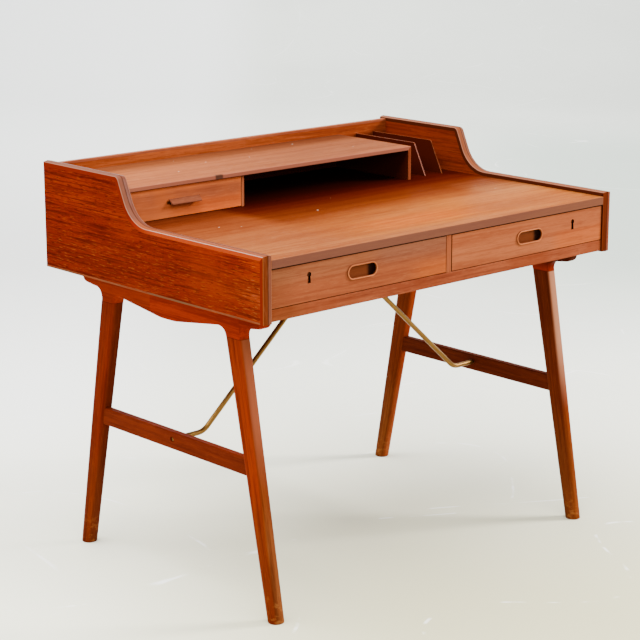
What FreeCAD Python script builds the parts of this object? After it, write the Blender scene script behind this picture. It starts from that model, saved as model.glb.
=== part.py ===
import FreeCAD, Part
import math
import os
from types import SimpleNamespace as Sizes

# A teak writing desk on two leg frames. Millimetres: +X to the right, +Y to the back, +Z up.
# The origin is on the floor, under the middle of the desk.

V = FreeCAD.Vector

# Overall size
width = 1000.0
depth = 700.0
writing_height = 736.0
gallery_height = 104.0
case_height = 119.5

# Side panels and their edgings
side_thickness = 22.0
side_drop = 2.0
front_step = 11.0
gallery_depth = 297.0
slope_degrees = 24.2
hollow_radius = 75.0
crown_radius = 14.0
nose_depth = 3.0
edging_width = 8.0
band_thickness = 4.0

# Desktop, bottom and back
desktop_thickness = 18.0
desktop_edging_depth = 30.0
desktop_setback = 2.5
tongue_length = 6.0
tongue_thickness = 9.0
bottom_thickness = 12.0
back_thickness = 12.0
back_inset = 8.0
back_drop = 5.0
back_edging_height = 5.0
edge_break = 0.8

# Drawer openings
drawer_setback = 6.0
rail_height = 23.5
rail_depth = 50.0
partition_thickness = 14.0
runner_width = 18.0
runner_end_gap = 14.0
stop_length = 40.0
stop_height = 4.0
stop_depth = 20.0
stop_spacing = 260.0

# Shelf, upright, partition and letter rack
shelf_rise = 76.0
shelf_thickness = 9.0
shelf_depth = 240.0
shelf_partition_thickness = 9.0
rack_width = 153.0
upright_thickness = 7.0
pen_opening_width = 306.0
pen_setback = 9.0
rack_housing = 3.0
divider_thickness = 3.5
divider_height = 73.0
divider_depth = 230.0
divider_lean = 37.0
divider_corner_radius = 5.0
divider_place_shares = (0.372, 0.729)

# Leg frames
frame_inset = 39.0
frame_thickness = 30.0
front_toe_inset = 54.0
rear_toe_inset = 70.0
rail_middle_drop = 62.5
rail_leg_drop = 38.5
bulge_radius = 30.0
leg_joint_drop = 58.5
leg_top_from_toe = 86.0
leg_top_width = 48.0
foot_past_toe = 21.5
foot_width = 32.5
foot_flat = 4.0
leg_spans = 2
inner_fillet = 22.0
outer_fillet = 20.0
toe_root_drop = 36.5
toe_tip_drop = 27.0
toe_radius = 14.0
frame_break = 5.0
leg_round = 9.0
rear_butt_offset = 56.0
stub_length = 25.0
leg_dowel_radius = 7.0
leg_dowel_length = 26.0

# Stretchers and brass rods
stretcher_thickness = 18.0
stretcher_bottom = 284.0
stretcher_height = 37.0
stretcher_break = 2.5
rod_diameter = 11.0
rod_rise = 21.0
rod_bend_inset = 128.0
rod_bend_radius = 18.0
rod_top_x = 24.0
lug_end_x = 4.0
lug_overlap = 4.0
lug_width = 16.0
lug_thickness = 5.0
lug_round = 5.0
lug_screw_x = 12.0

# Screws
screw_head_radius = 4.5
screw_head_height = 2.6
screw_shank_radius = 2.0
rod_screw_length = 30.0
lug_screw_length = 13.0
counterbore_radius = 6.0
counterbore_depth = 4.0
frame_screw_length = 46.0
frame_screw_from_leg = 52.0

# Large drawers
large_drawer = Sizes(
    gap=1.0, front=18.0, rear_gap=114.0, side=10.0, side_gap=12.0, back=10.0,
    bottom=4.0, bottom_rise=8.0, lap=6.0)

# Pen drawer
pen_drawer = Sizes(
    gap=0.7, front=12.0, rear_gap=15.0, side=7.0, side_gap=15.0, back=7.0,
    bottom=3.0, bottom_rise=4.0, lap=5.0)

# Details that all drawers share
running_gap = 0.3
groove_depth = 4.0
back_rear_gap = 12.0
back_top_drop = 4.0
tail_place_shares = (0.32, 0.76)
tail_neck_share = 0.22
tail_flare = 2.4

# Recessed pulls
pull_length = 80.0
pull_height = 30.0
pull_rim_height = 3.0
pull_wall = 3.4
pull_depth = 14.0
pull_floor = 3.0
pull_rim_break = 1.0
pull_rise = 2.0

# Locks
key_offset = 138.5
key_rise = 7.0
keyhole_height = 22.0
keyhole_radius = 5.2
keyhole_neck = 6.0
keyhole_foot = 8.4
keyhole_depth = 6.0
lock_width = 44.0
lock_height = 40.0
lock_thickness = 10.0
lock_inset = 8.0
bolt_width = 16.0
bolt_thickness = 4.4
bolt_height = 14.0
bolt_travel = 6.0
bolt_gap = 0.3
mortise_gap = 0.8

# Handle of the pen drawer
handle_length = 78.0
handle_reach = 12.5
handle_fall = 9.5
handle_thickness = 3.0
handle_rise = 6.2
handle_tenon = 6.0
handle_round = 1.0
handle_bend = 7.0

# How far a cutting body runs past what it cuts
overrun = 10.0

# Places worked out from the sizes above
height = writing_height + gallery_height
knee_height = writing_height - case_height
half_width = width / 2
inner_x = half_width - side_thickness
front_y = -depth / 2
back_y = depth / 2
side_bottom = knee_height - side_drop
front_top = writing_height + front_step
edging_inset = nose_depth + edging_width
desktop_under = writing_height - desktop_thickness
desktop_front = front_y + desktop_setback
desktop_edging_back = desktop_front + desktop_edging_depth
back_face = back_y - back_inset - back_thickness
back_top = height - back_drop
back_panel_top = back_top - back_edging_height
bottom_top = knee_height + bottom_thickness
drawer_plane = front_y + drawer_setback
rail_top = knee_height + rail_height
rail_back = drawer_plane + rail_depth
shelf_top = writing_height + shelf_rise
shelf_under = shelf_top - shelf_thickness
shelf_front = back_face - shelf_depth
shelf_end = inner_x - rack_width
pen_plane = shelf_front + pen_setback
upright_left = -inner_x + pen_opening_width
frame_outer_x = half_width - frame_inset
frame_inner_x = frame_outer_x - frame_thickness
frame_middle_x = (frame_outer_x + frame_inner_x) / 2
leg_joint_z = knee_height - leg_joint_drop
frame_front, frame_back = front_y + front_toe_inset, back_y - rear_toe_inset
frame_centre_y = (frame_front + frame_back) / 2
toe_reach = (frame_back - frame_front) / 2
leg_top_spread = toe_reach - leg_top_from_toe
foot_spread = toe_reach + foot_past_toe
rod_z = stretcher_bottom + rod_rise
openings = {"left": (-inner_x, -partition_thickness / 2), "right": (partition_thickness / 2, inner_x)}
outward = {"left": -1, "right": 1}


def box(x0, x1, y0, y1, z0, z1):
    """A block between two corners, given in either order."""
    low = V(min(x0, x1), min(y0, y1), min(z0, z1))
    return Part.makeBox(abs(x1 - x0), abs(y1 - y0), abs(z1 - z0), low)


def at_plane(axis, value, a, b):
    """The point with coordinates a and b on a plane across X, Y or Z."""
    return {"x": V(value, a, b), "y": V(a, value, b), "z": V(a, b, value)}[axis]


def rounded_wire(corners, axis, value):
    """A closed outline on a plane, from corners (a, b, radius) with tangent arcs."""
    count = len(corners)
    points = [at_plane(axis, value, a, b) for a, b, radius in corners]
    starts, middles, ends = [], [], []
    for i, (a, b, radius) in enumerate(corners):
        here = points[i]
        behind = (points[i - 1] - here).normalize()
        ahead = (points[(i + 1) % count] - here).normalize()
        half_angle = behind.getAngle(ahead) / 2
        run = radius / math.tan(half_angle)
        starts.append(here + behind * run)
        middles.append(here + (behind + ahead).normalize() * (radius / math.sin(half_angle) - radius))
        ends.append(here + ahead * run)
    edges = []
    for i, (a, b, radius) in enumerate(corners):
        if radius > 0:
            edges.append(Part.Arc(starts[i], middles[i], ends[i]).toShape())
        edges.append(Part.LineSegment(ends[i], starts[(i + 1) % count]).toShape())
    return Part.Wire(edges)


def sharp(points):
    """Corners without rounding."""
    return [(a, b, 0) for a, b in points]


def prism(corners, axis, start, end):
    """An outline carried straight along X, Y or Z."""
    face = Part.Face(rounded_wire(corners, axis, start))
    return face.extrude(at_plane(axis, end - start, 0, 0))


def eased(shape, plane_y):
    """A piece with the sharp edges of its front face broken."""
    edges = [e for e in shape.Edges if abs(e.CenterOfMass.y - plane_y) < edge_break / 2]
    return shape.makeChamfer(edge_break, edges)


def fused(shapes):
    """Touching bodies joined into one solid."""
    return shapes[0].fuse(shapes[1:]).removeSplitter().Solids[0]


def group(shapes):
    """Separate solids kept together under one name."""
    return Part.makeCompound([solid for shape in shapes for solid in shape.Solids])


# Side panels: a board with mitred edgings that come to a ridge along the middle of the edge
def side_outline(inset, bottom):
    """The side seen square on, drawn in by an inset from its front, step, slope and top."""
    slope = math.radians(slope_degrees)
    foot_y = back_y - gallery_depth + inset / math.cos(slope)
    step, crown = front_top - inset, height - inset
    step_y = foot_y + (step - front_top) * math.tan(slope)
    crown_y = foot_y + (crown - front_top) * math.tan(slope)
    return [(back_y, bottom, 0), (front_y + inset, bottom, 0), (front_y + inset, step, 0),
            (step_y, step, hollow_radius + inset), (crown_y, crown, crown_radius - inset),
            (back_y, crown, 0)]


def side_pieces(sign, housed):
    """Panel, front edging, top edging and bottom edging of one side."""
    x0, x1 = sorted((sign * inner_x, sign * half_width))
    sections = ((x0, nose_depth), ((x0 + x1) / 2, 0), (x1, nose_depth))
    wires = [rounded_wire(side_outline(inset, side_bottom), "x", x) for x, inset in sections]
    panel = prism(side_outline(edging_inset, side_bottom + band_thickness), "x", x0, x1)
    edging = Part.makeLoft(wires, True, True).cut(panel)
    mitre = [(front_y - overrun, side_bottom - overrun),
             (front_y + edging_inset, side_bottom - overrun),
             (front_y + edging_inset, front_top - edging_inset),
             (front_y - overrun, front_top + overrun)]
    front_zone = prism(sharp(mitre), "x", x0 - overrun, x1 + overrun)
    bottom_zone = box(x0 - overrun, x1 + overrun, front_y + edging_inset, back_y + overrun,
                      side_bottom - overrun, side_bottom + band_thickness)
    top = edging.cut([front_zone, bottom_zone]).cut(housed)
    band = edging.common(bottom_zone).cut(housed)
    return panel.cut(housed), edging.common(front_zone), top, band


# Case
def desktop_board():
    """The writing surface, with a tongue into each side."""
    top = box(-inner_x, inner_x, desktop_edging_back, back_face, desktop_under, writing_height)
    reach = inner_x + tongue_length
    tongue = box(-reach, reach, desktop_edging_back, back_face,
                 desktop_under, desktop_under + tongue_thickness)
    return fused([top, tongue])


def desktop_edging(mortises):
    """The solid front edge of the writing surface, cut for the lock bolts."""
    strip = box(-inner_x, inner_x, desktop_front, desktop_edging_back, desktop_under, writing_height)
    return eased(strip, desktop_front).cut(mortises)


def back_board():
    """The back, housed in both sides."""
    reach = inner_x + tongue_length
    return box(-reach, reach, back_face, back_face + back_thickness, knee_height, back_panel_top)


def back_edging():
    """The solid strip along the top of the back."""
    strip = box(-inner_x, inner_x, back_face, back_face + back_thickness, back_panel_top, back_top)
    edges = [e for e in strip.Edges if abs(e.CenterOfMass.z - back_top) < edge_break / 2]
    return strip.makeChamfer(edge_break, edges)


def bottom_board():
    """The underside of the case, housed in both sides."""
    reach = inner_x + tongue_length
    return box(-reach, reach, rail_back, back_face, knee_height, bottom_top)


def bottom_rail():
    """The rail under the drawers."""
    rail = box(-inner_x, inner_x, drawer_plane, rail_back, knee_height, rail_top)
    return eased(rail, drawer_plane)


def centre_partition():
    """The upright between the large drawers, notched over the rail."""
    outline = [(drawer_plane, rail_top), (rail_back, rail_top), (rail_back, bottom_top),
               (back_face, bottom_top), (back_face, desktop_under), (drawer_plane, desktop_under)]
    half = partition_thickness / 2
    return eased(prism(sharp(outline), "x", -half, half), drawer_plane)


def drawer_runners():
    """A strip under each drawer side."""
    strips = []
    for x0, x1 in openings.values():
        for start, end in ((x0, x0 + runner_width), (x1 - runner_width, x1)):
            strips.append(box(start, end, rail_back, back_face - runner_end_gap,
                              bottom_top, rail_top))
    return group(strips)


def drawer_stops():
    """Two blocks on the rail that each drawer front closes against."""
    y0 = drawer_plane + large_drawer.front + running_gap
    blocks = []
    for x0, x1 in openings.values():
        for offset in (-stop_spacing / 2, stop_spacing / 2):
            middle = (x0 + x1) / 2 + offset
            blocks.append(box(middle - stop_length / 2, middle + stop_length / 2,
                              y0, y0 + stop_depth, rail_top, rail_top + stop_height))
    return group(blocks)


# Shelf and letter rack
def upper_shelf():
    """The shelf, mitred to its partition at the right end."""
    outline = [(-inner_x, shelf_under), (shelf_end - shelf_partition_thickness, shelf_under),
               (shelf_end, shelf_top), (-inner_x, shelf_top)]
    return eased(prism(sharp(outline), "y", shelf_front, back_face), shelf_front)


def shelf_partition():
    """The upright at the shelf's right end, let into the writing surface."""
    foot = writing_height - rack_housing
    outline = [(shelf_end - shelf_partition_thickness, foot), (shelf_end, foot),
               (shelf_end, shelf_top), (shelf_end - shelf_partition_thickness, shelf_under)]
    return eased(prism(sharp(outline), "y", shelf_front, back_face), shelf_front)


def drawer_upright():
    """The upright beside the pen drawer."""
    upright = box(upright_left, upright_left + upright_thickness, pen_plane, back_face,
                  writing_height - rack_housing, shelf_under)
    return eased(upright, pen_plane)


def letter_divider(share):
    """One thin divider with a slanted front edge."""
    x0 = shelf_end + share * rack_width - divider_thickness / 2
    foot_y = back_face - divider_depth
    foot, top = writing_height - rack_housing, writing_height + divider_height
    outline = [(foot_y, foot, 0), (foot_y, writing_height, 0),
               (foot_y + divider_lean, top, divider_corner_radius),
               (back_face, top, 0), (back_face, foot, 0)]
    return prism(outline, "x", x0, x0 + divider_thickness)


# Leg frames
def leg_line(edge, z):
    """How far a leg's inner (-1) or outer (1) edge lies from the frame's middle at a height."""
    top = leg_top_spread + edge * leg_top_width / 2
    foot = foot_spread + edge * foot_width / 2
    return top + (foot - top) * (leg_joint_z - z) / leg_joint_z


def frame_outline():
    """The rail, its bulge, both shoulders and the stubs above the leg joints."""
    corner_z, root_z = knee_height - rail_leg_drop, knee_height - toe_root_drop
    stub_z = leg_joint_z - stub_length
    half = [(leg_line(-1, corner_z), corner_z, inner_fillet), (leg_line(-1, stub_z), stub_z, 0),
            (leg_line(1, stub_z), stub_z, 0), (leg_line(1, root_z), root_z, outer_fillet),
            (toe_reach, knee_height - toe_tip_drop, toe_radius), (toe_reach, knee_height, 0)]
    right = [(frame_centre_y + a, z, radius) for a, z, radius in half]
    left = [(frame_centre_y - a, z, radius) for a, z, radius in reversed(half)]
    return [(frame_centre_y, knee_height - rail_middle_drop, bulge_radius)] + right + left


def frame_top(x0, x1):
    """The upper part of a leg frame in one piece, with its long edges broken."""
    blank = prism(frame_outline(), "x", x0, x1)
    low, high = leg_joint_z - stub_length, knee_height
    margin = edge_break / 2
    edges = []
    for edge in blank.Edges:
        middle = edge.CenterOfMass
        on_face = min(abs(middle.x - x0), abs(middle.x - x1)) < margin
        if on_face and low + margin < middle.z < high - margin:
            edges.append(edge)
    return blank.makeChamfer(frame_break, edges)


def leg(sign, end):
    """A leg from its round foot to the joint, with its dowel; end is -1 in front, 1 behind."""
    foot_radius = (foot_width - foot_flat) / 2
    foot = (0, foot_spread, foot_width, foot_width, foot_radius)
    top = (leg_joint_z, leg_top_spread, frame_thickness, leg_top_width, leg_round)
    sections = []
    for i in range(leg_spans + 1):
        share = i / leg_spans
        z, spread, size_x, size_y, radius = (a + (b - a) * share for a, b in zip(foot, top))
        x, y = sign * frame_middle_x, frame_centre_y + end * spread
        dx, dy = size_x / 2, size_y / 2
        corners = [(x - dx, y - dy), (x + dx, y - dy), (x + dx, y + dy), (x - dx, y + dy)]
        sections.append(rounded_wire([(a, b, radius) for a, b in corners], "z", z))
    return Part.makeLoft(sections, True, True)


def leg_dowel(sign, end):
    """The round tenon on top of a leg."""
    base = V(sign * frame_middle_x, frame_centre_y + end * leg_top_spread, leg_joint_z)
    return Part.makeCylinder(leg_dowel_radius, leg_dowel_length, base)


def stretcher(sign, legs, cutters):
    """The rail between the legs, scribed to them and drilled for the rod's screw."""
    middle_z = stretcher_bottom + stretcher_height / 2
    reach = (leg_line(-1, middle_z) + leg_line(1, middle_z)) / 2
    x0 = sign * frame_middle_x - stretcher_thickness / 2
    bar = box(x0, x0 + stretcher_thickness, frame_centre_y - reach, frame_centre_y + reach,
              stretcher_bottom, stretcher_bottom + stretcher_height)
    long_edges = [e for e in bar.Edges if abs(e.CenterOfMass.y - frame_centre_y) < edge_break]
    scribed = bar.makeChamfer(stretcher_break, long_edges).cut(legs + cutters).removeSplitter()
    return max(scribed.Solids, key=lambda solid: solid.Volume)


def frame_pieces(side, cutters):
    """Rail, shoulders, legs and stretcher of one leg frame."""
    sign = outward[side]
    x0, x1 = sorted((sign * frame_inner_x, sign * frame_outer_x))
    blank = frame_top(x0, x1)
    dowels = {end: leg_dowel(sign, end) for end in (-1, 1)}
    legs = {end: leg(sign, end) for end in (-1, 1)}
    toe_joint = leg_line(1, knee_height - toe_root_drop)
    stub_start = leg_line(-1, leg_joint_z) - leg_top_width / 2
    stubs = [box(x0 - overrun, x1 + overrun, frame_centre_y + end * stub_start,
                 frame_centre_y + end * toe_reach, 0, leg_joint_z) for end in (-1, 1)]
    holes = list(dowels.values()) + stubs + cutters

    def part(from_y, to_y):
        zone = box(x0 - overrun, x1 + overrun, frame_centre_y + from_y, frame_centre_y + to_y,
                   0, knee_height + overrun)
        return blank.common(zone).cut(holes).removeSplitter()

    return {
        f"{side}_frame_rail": part(-toe_joint, rear_butt_offset),
        f"{side}_front_shoulder": part(-toe_reach - overrun, -toe_joint),
        f"{side}_rear_shoulder": part(rear_butt_offset, toe_reach + overrun),
        f"{side}_front_leg": fused([legs[-1], dowels[-1]]),
        f"{side}_rear_leg": fused([legs[1], dowels[1]]),
        f"{side}_stretcher": stretcher(sign, list(legs.values()), cutters),
    }


# Screws
def turned(points):
    """A solid turned about Z from an outline in X and Z."""
    wire = Part.makePolygon([V(x, 0, z) for x, z in points + points[:1]])
    return Part.Face(wire).revolve(V(), V(0, 0, 1), 360)


def screw(length):
    """A screw whose head stands on Z = 0 and whose shank points down."""
    return turned([(0, -length), (screw_shank_radius, -length), (screw_shank_radius, 0),
                   (screw_head_radius, 0), (screw_head_radius, screw_head_height),
                   (0, screw_head_height)])


def placed(shape, point, direction):
    """A piece made along +Z, turned to a direction and moved to a point."""
    moved = shape.copy()
    moved.Placement = FreeCAD.Placement(point, FreeCAD.Rotation(V(0, 0, 1), direction))
    return moved


def frame_screw(sign, end):
    """A screw down through the bottom panel into a frame, near its front or its rear leg."""
    offset = end * (leg_top_spread - frame_screw_from_leg)
    seat = V(sign * frame_middle_x, frame_centre_y + offset, bottom_top)
    return placed(screw(frame_screw_length), seat, V(0, 0, 1))


# Brass rods
def rod_screw(sign):
    """The screw through a stretcher into the rod's lower end."""
    seat = sign * (frame_middle_x + stretcher_thickness / 2 - counterbore_depth)
    return placed(screw(rod_screw_length), V(seat, frame_centre_y, rod_z), V(sign, 0, 0))


def rod_counterbore(sign):
    """The wide hole that the screw's head lies in."""
    seat = sign * (frame_middle_x + stretcher_thickness / 2 - counterbore_depth)
    hole = Part.makeCylinder(counterbore_radius, counterbore_depth + overrun)
    return placed(hole, V(seat, frame_centre_y, rod_z), V(sign, 0, 0))


def lug_screw(sign):
    """The screw through the rod's flattened upper end into the underside."""
    seat = V(sign * lug_screw_x, frame_centre_y, knee_height - lug_thickness)
    return placed(screw(lug_screw_length), seat, V(0, 0, -1))


def brass_rod(sign, screws):
    """A rod from the stretcher, bent up to the underside, where it ends in a flat lug."""
    route = [(frame_middle_x - stretcher_thickness / 2, rod_z), (half_width - rod_bend_inset, rod_z),
             (rod_top_x, knee_height)]
    start, bend, top = (V(sign * x, frame_centre_y, z) for x, z in route)
    back, ahead = (start - bend).normalize(), (top - bend).normalize()
    half_angle = back.getAngle(ahead) / 2
    run = rod_bend_radius / math.tan(half_angle)
    middle = (back + ahead).normalize() * (rod_bend_radius / math.sin(half_angle) - rod_bend_radius)
    path = Part.Wire([
        Part.LineSegment(start, bend + back * run).toShape(),
        Part.Arc(bend + back * run, bend + middle, bend + ahead * run).toShape(),
        Part.LineSegment(bend + ahead * run, top + ahead * overrun).toShape()])
    ring = Part.Wire(Part.makeCircle(rod_diameter / 2, start, V(1, 0, 0)))
    above = box(0, bend.x, frame_centre_y - rod_diameter, frame_centre_y + rod_diameter,
                knee_height, knee_height + 2 * overrun)
    rod = path.makePipeShell([ring], True, False).cut(above)
    lug_start, half = sign * (rod_top_x + lug_overlap), lug_width / 2
    corners = [(lug_start, frame_centre_y - half, 0), (lug_start, frame_centre_y + half, 0),
               (sign * lug_end_x, frame_centre_y + half, lug_round),
               (sign * lug_end_x, frame_centre_y - half, lug_round)]
    lug = prism(corners, "z", knee_height - lug_thickness, knee_height)
    return fused([rod, lug]).cut(screws).removeSplitter()


# Drawers
def drawer_sides(x0, x1, s):
    """The X range of each side of a drawer in the opening from x0 to x1."""
    return {"left": (x0 + s.gap, x0 + s.gap + s.side), "right": (x1 - s.gap - s.side, x1 - s.gap)}


def drawer_tails(x_range, plane, floor, tall, s):
    """The dovetails on a drawer side, which fill the sockets in the front."""
    tails = []
    neck = tail_neck_share * tall / 2
    for share in tail_place_shares:
        middle = floor + share * tall
        outline = [(plane + s.front + s.lap, middle - neck), (plane + s.front, middle - neck),
                   (plane + s.lap, middle - neck - tail_flare),
                   (plane + s.lap, middle + neck + tail_flare),
                   (plane + s.front, middle + neck), (plane + s.front + s.lap, middle + neck)]
        tails.append(prism(sharp(outline), "x", *x_range))
    return tails


def drawer_pieces(name, x0, x1, plane, z0, z1, s):
    """Front, sides, back and bottom of a drawer in its opening, without its fittings."""
    floor, tall = z0 + running_gap, z1 - z0 - s.side_gap
    rear = back_face - s.rear_gap
    sides = drawer_sides(x0, x1, s)
    inner_left, inner_right = sides["left"][1] - groove_depth, sides["right"][0] + groove_depth
    bottom_z = floor + s.bottom_rise
    bottom = box(inner_left, inner_right, plane + s.front - groove_depth, rear,
                 bottom_z, bottom_z + s.bottom)
    back = box(inner_left, inner_right, rear - back_rear_gap - s.back, rear - back_rear_gap,
               bottom_z + s.bottom, floor + tall - back_top_drop)
    front = eased(box(x0 + s.gap, x1 - s.gap, plane, plane + s.front, z0 + s.gap, z1 - s.gap), plane)
    front = front.cut(bottom)
    pieces = {f"{name}_bottom": bottom, f"{name}_back": back}
    for hand, x_range in sides.items():
        tails = drawer_tails(x_range, plane, floor, tall, s)
        blank = box(*x_range, plane + s.front, rear, floor, floor + tall)
        pieces[f"{name}_{hand}_side"] = fused([blank] + tails).cut([bottom, back])
        front = front.cut(tails)
    pieces[f"{name}_front"] = front
    return pieces


def stadium(middle_x, middle_z, length, tall, y):
    """An outline with straight long sides and half-round ends."""
    radius, half = tall / 2, length / 2 - tall / 2
    low, high = middle_z - radius, middle_z + radius
    left, right = middle_x - half, middle_x + half
    return Part.Wire([
        Part.LineSegment(V(left, y, low), V(right, y, low)).toShape(),
        Part.Arc(V(right, y, low), V(right + radius, y, middle_z), V(right, y, high)).toShape(),
        Part.LineSegment(V(right, y, high), V(left, y, high)).toShape(),
        Part.Arc(V(left, y, high), V(left - radius, y, middle_z), V(left, y, low)).toShape()])


def pull_blank(middle_x, middle_z):
    """The outside of a pull, which the drawer front is cut for."""
    rim_y = drawer_plane - pull_rim_height
    face = Part.Face(stadium(middle_x, middle_z, pull_length, pull_height, rim_y))
    return face.extrude(V(0, pull_rim_height + pull_depth, 0))


def pull(middle_x, middle_z):
    """A cup with a raised rim, broken at its edges."""
    rim_y = drawer_plane - pull_rim_height
    mouth = Part.Face(stadium(middle_x, middle_z, pull_length - 2 * pull_wall,
                              pull_height - 2 * pull_wall, rim_y))
    hollow = mouth.extrude(V(0, pull_rim_height + pull_depth - pull_floor, 0))
    cup = pull_blank(middle_x, middle_z).cut(hollow)
    rim = [e for e in cup.Edges if abs(e.CenterOfMass.y - rim_y) < edge_break / 2]
    return cup.makeChamfer(pull_rim_break, rim)


def keyhole(middle_x, middle_z, y0, y1):
    """A keyhole-shaped body: a round top on a slot that widens to its foot."""
    top, foot = middle_z + keyhole_height / 2, middle_z - keyhole_height / 2
    eye_z = top - keyhole_radius
    eye = Part.makeCylinder(keyhole_radius, y1 - y0, V(middle_x, y0, eye_z), V(0, 1, 0))
    slot = prism(sharp([(middle_x - keyhole_foot / 2, foot), (middle_x + keyhole_foot / 2, foot),
                        (middle_x + keyhole_neck / 2, eye_z), (middle_x - keyhole_neck / 2, eye_z)]),
                 "y", y0, y1)
    return fused([eye, slot])


def lock_block(key_x, top_z):
    """The outside of a lock case, which the drawer front is cut for."""
    y0 = drawer_plane + large_drawer.front - lock_inset
    return box(key_x - lock_width / 2, key_x + lock_width / 2, y0, y0 + lock_thickness,
               top_z - lock_height, top_z)


def bolt_block(key_x, base_z, tall, gap):
    """A block on the bolt's place, larger all round by a gap."""
    middle_y = drawer_plane + large_drawer.front - lock_inset + lock_thickness / 2
    half_x, half_y = bolt_width / 2 + gap, bolt_thickness / 2 + gap
    return box(key_x - half_x, key_x + half_x, middle_y - half_y, middle_y + half_y,
               base_z, base_z + tall)


def large_drawer_pieces(side):
    """One large drawer with its pull, lock case and lock bolt."""
    x0, x1 = openings[side]
    name = f"{side}_drawer"
    pieces = drawer_pieces(name, x0, x1, drawer_plane, rail_top, desktop_under, large_drawer)
    middle_x, middle_z = (x0 + x1) / 2, (rail_top + desktop_under) / 2 + pull_rise
    top_z = desktop_under - large_drawer.gap
    key_x, key_z = middle_x + outward[side] * key_offset, middle_z + key_rise
    lock_y = drawer_plane + large_drawer.front - lock_inset
    lock = lock_block(key_x, top_z)
    hole = keyhole(key_x, key_z, drawer_plane - overrun, lock_y + keyhole_depth)
    front = pieces[f"{name}_front"]
    pieces[f"{name}_front"] = front.cut([pull_blank(middle_x, middle_z), lock, hole])
    pieces[f"{name}_pull"] = pull(middle_x, middle_z)
    bolt_z = top_z - bolt_height - bolt_gap
    cavity = bolt_block(key_x, bolt_z - bolt_gap, bolt_height + overrun, bolt_gap)
    pieces[f"{name}_lock_case"] = lock.cut([cavity, hole])
    pieces[f"{name}_lock_bolt"] = bolt_block(key_x, bolt_z, bolt_height, 0)
    return pieces


def bolt_mortises():
    """The slots in the desktop edging that the lock bolts enter."""
    slots = []
    for side, (x0, x1) in openings.items():
        key_x = (x0 + x1) / 2 + outward[side] * key_offset
        tall = bolt_travel + mortise_gap
        slots.append(bolt_block(key_x, desktop_under, tall, mortise_gap))
    return slots


def pen_handle(middle_x, middle_z):
    """A sloping hood with its tenon, open at both ends and underneath."""
    wall_z, under_z = middle_z + handle_rise, middle_z + handle_rise - handle_thickness
    lip_y, lip_z = pen_plane - handle_reach, wall_z - handle_fall
    inside_y = lip_y + handle_thickness
    outline = [(pen_plane + handle_tenon, wall_z, 0),
               (lip_y, wall_z, handle_bend),
               (lip_y, lip_z, handle_round), (inside_y, lip_z, handle_round),
               (inside_y, under_z, handle_bend - handle_thickness),
               (pen_plane + handle_tenon, under_z, 0)]
    return prism(outline, "x", middle_x - handle_length / 2, middle_x + handle_length / 2)


def pen_drawer_pieces():
    """The pen drawer with its handle."""
    x0, x1 = -inner_x, upright_left
    pieces = drawer_pieces("pen_drawer", x0, x1, pen_plane, writing_height, shelf_under, pen_drawer)
    handle = pen_handle((x0 + x1) / 2, (writing_height + shelf_under) / 2)
    pieces["pen_drawer_front"] = pieces["pen_drawer_front"].cut(handle)
    pieces["pen_drawer_handle"] = handle
    return pieces


# Assembly
def all_pieces():
    """Every piece of the desk by name."""
    desktop, back, bottom = desktop_board(), back_board(), bottom_board()
    frame_fixings = [frame_screw(sign, end) for sign in outward.values() for end in (-1, 1)]
    rod_fixings = [rod_screw(sign) for sign in outward.values()]
    rod_fixings += [lug_screw(sign) for sign in outward.values()]
    bores = [rod_counterbore(sign) for sign in outward.values()]
    pieces = {}
    for side, sign in outward.items():
        names = ("side_panel", "front_edging", "top_edging", "bottom_edging")
        made = side_pieces(sign, [desktop, back, bottom])
        pieces.update({f"{side}_{name}": piece for name, piece in zip(names, made)})
    rack = {"drawer_upright": drawer_upright(), "shelf_partition": shelf_partition()}
    for name, share in zip(("inner_letter_divider", "outer_letter_divider"), divider_place_shares):
        rack[name] = letter_divider(share)
    pieces["desktop_panel"] = desktop.cut(list(rack.values()))
    pieces["desktop_front_edging"] = desktop_edging(bolt_mortises())
    pieces["back_panel"] = back
    pieces["back_top_edging"] = back_edging()
    pieces["bottom_panel"] = bottom.cut(frame_fixings + rod_fixings).removeSplitter()
    pieces["front_bottom_rail"] = bottom_rail()
    pieces["centre_partition"] = centre_partition()
    pieces["drawer_runners"] = drawer_runners()
    pieces["drawer_stops"] = drawer_stops()
    pieces["upper_shelf"] = upper_shelf()
    pieces.update(rack)
    for side, sign in outward.items():
        pieces.update(frame_pieces(side, frame_fixings + rod_fixings + bores))
        pieces[f"{side}_brass_rod"] = brass_rod(sign, rod_fixings)
    pieces["rod_screws"] = group(rod_fixings)
    pieces["frame_screws"] = group(frame_fixings)
    for side in outward:
        pieces.update(large_drawer_pieces(side))
    pieces.update(pen_drawer_pieces())
    return pieces


def main():
    os.makedirs("parts", exist_ok=True)
    for name, shape in all_pieces().items():
        solids = shape.Solids
        piece = solids[0] if len(solids) == 1 else Part.makeCompound(solids)
        print(name, len(solids), "solid(s)", round(piece.Volume), "mm3", "valid", piece.isValid())
        piece.exportStep(f"parts/{name}.step")


main()
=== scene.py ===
# %% [markdown]
# This lesson dresses a teak writing desk. The carcass and the joints come from a finished
# construction model, and here the desk gets its wood, its brass and the soft forms that a maker
# shapes by hand: the rounded leg frames, the nosed edgings, the cups of the pulls. Every cell says
# first what a piece is on the real desk, how it could be made in Blender, and why this way was chosen.

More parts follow.
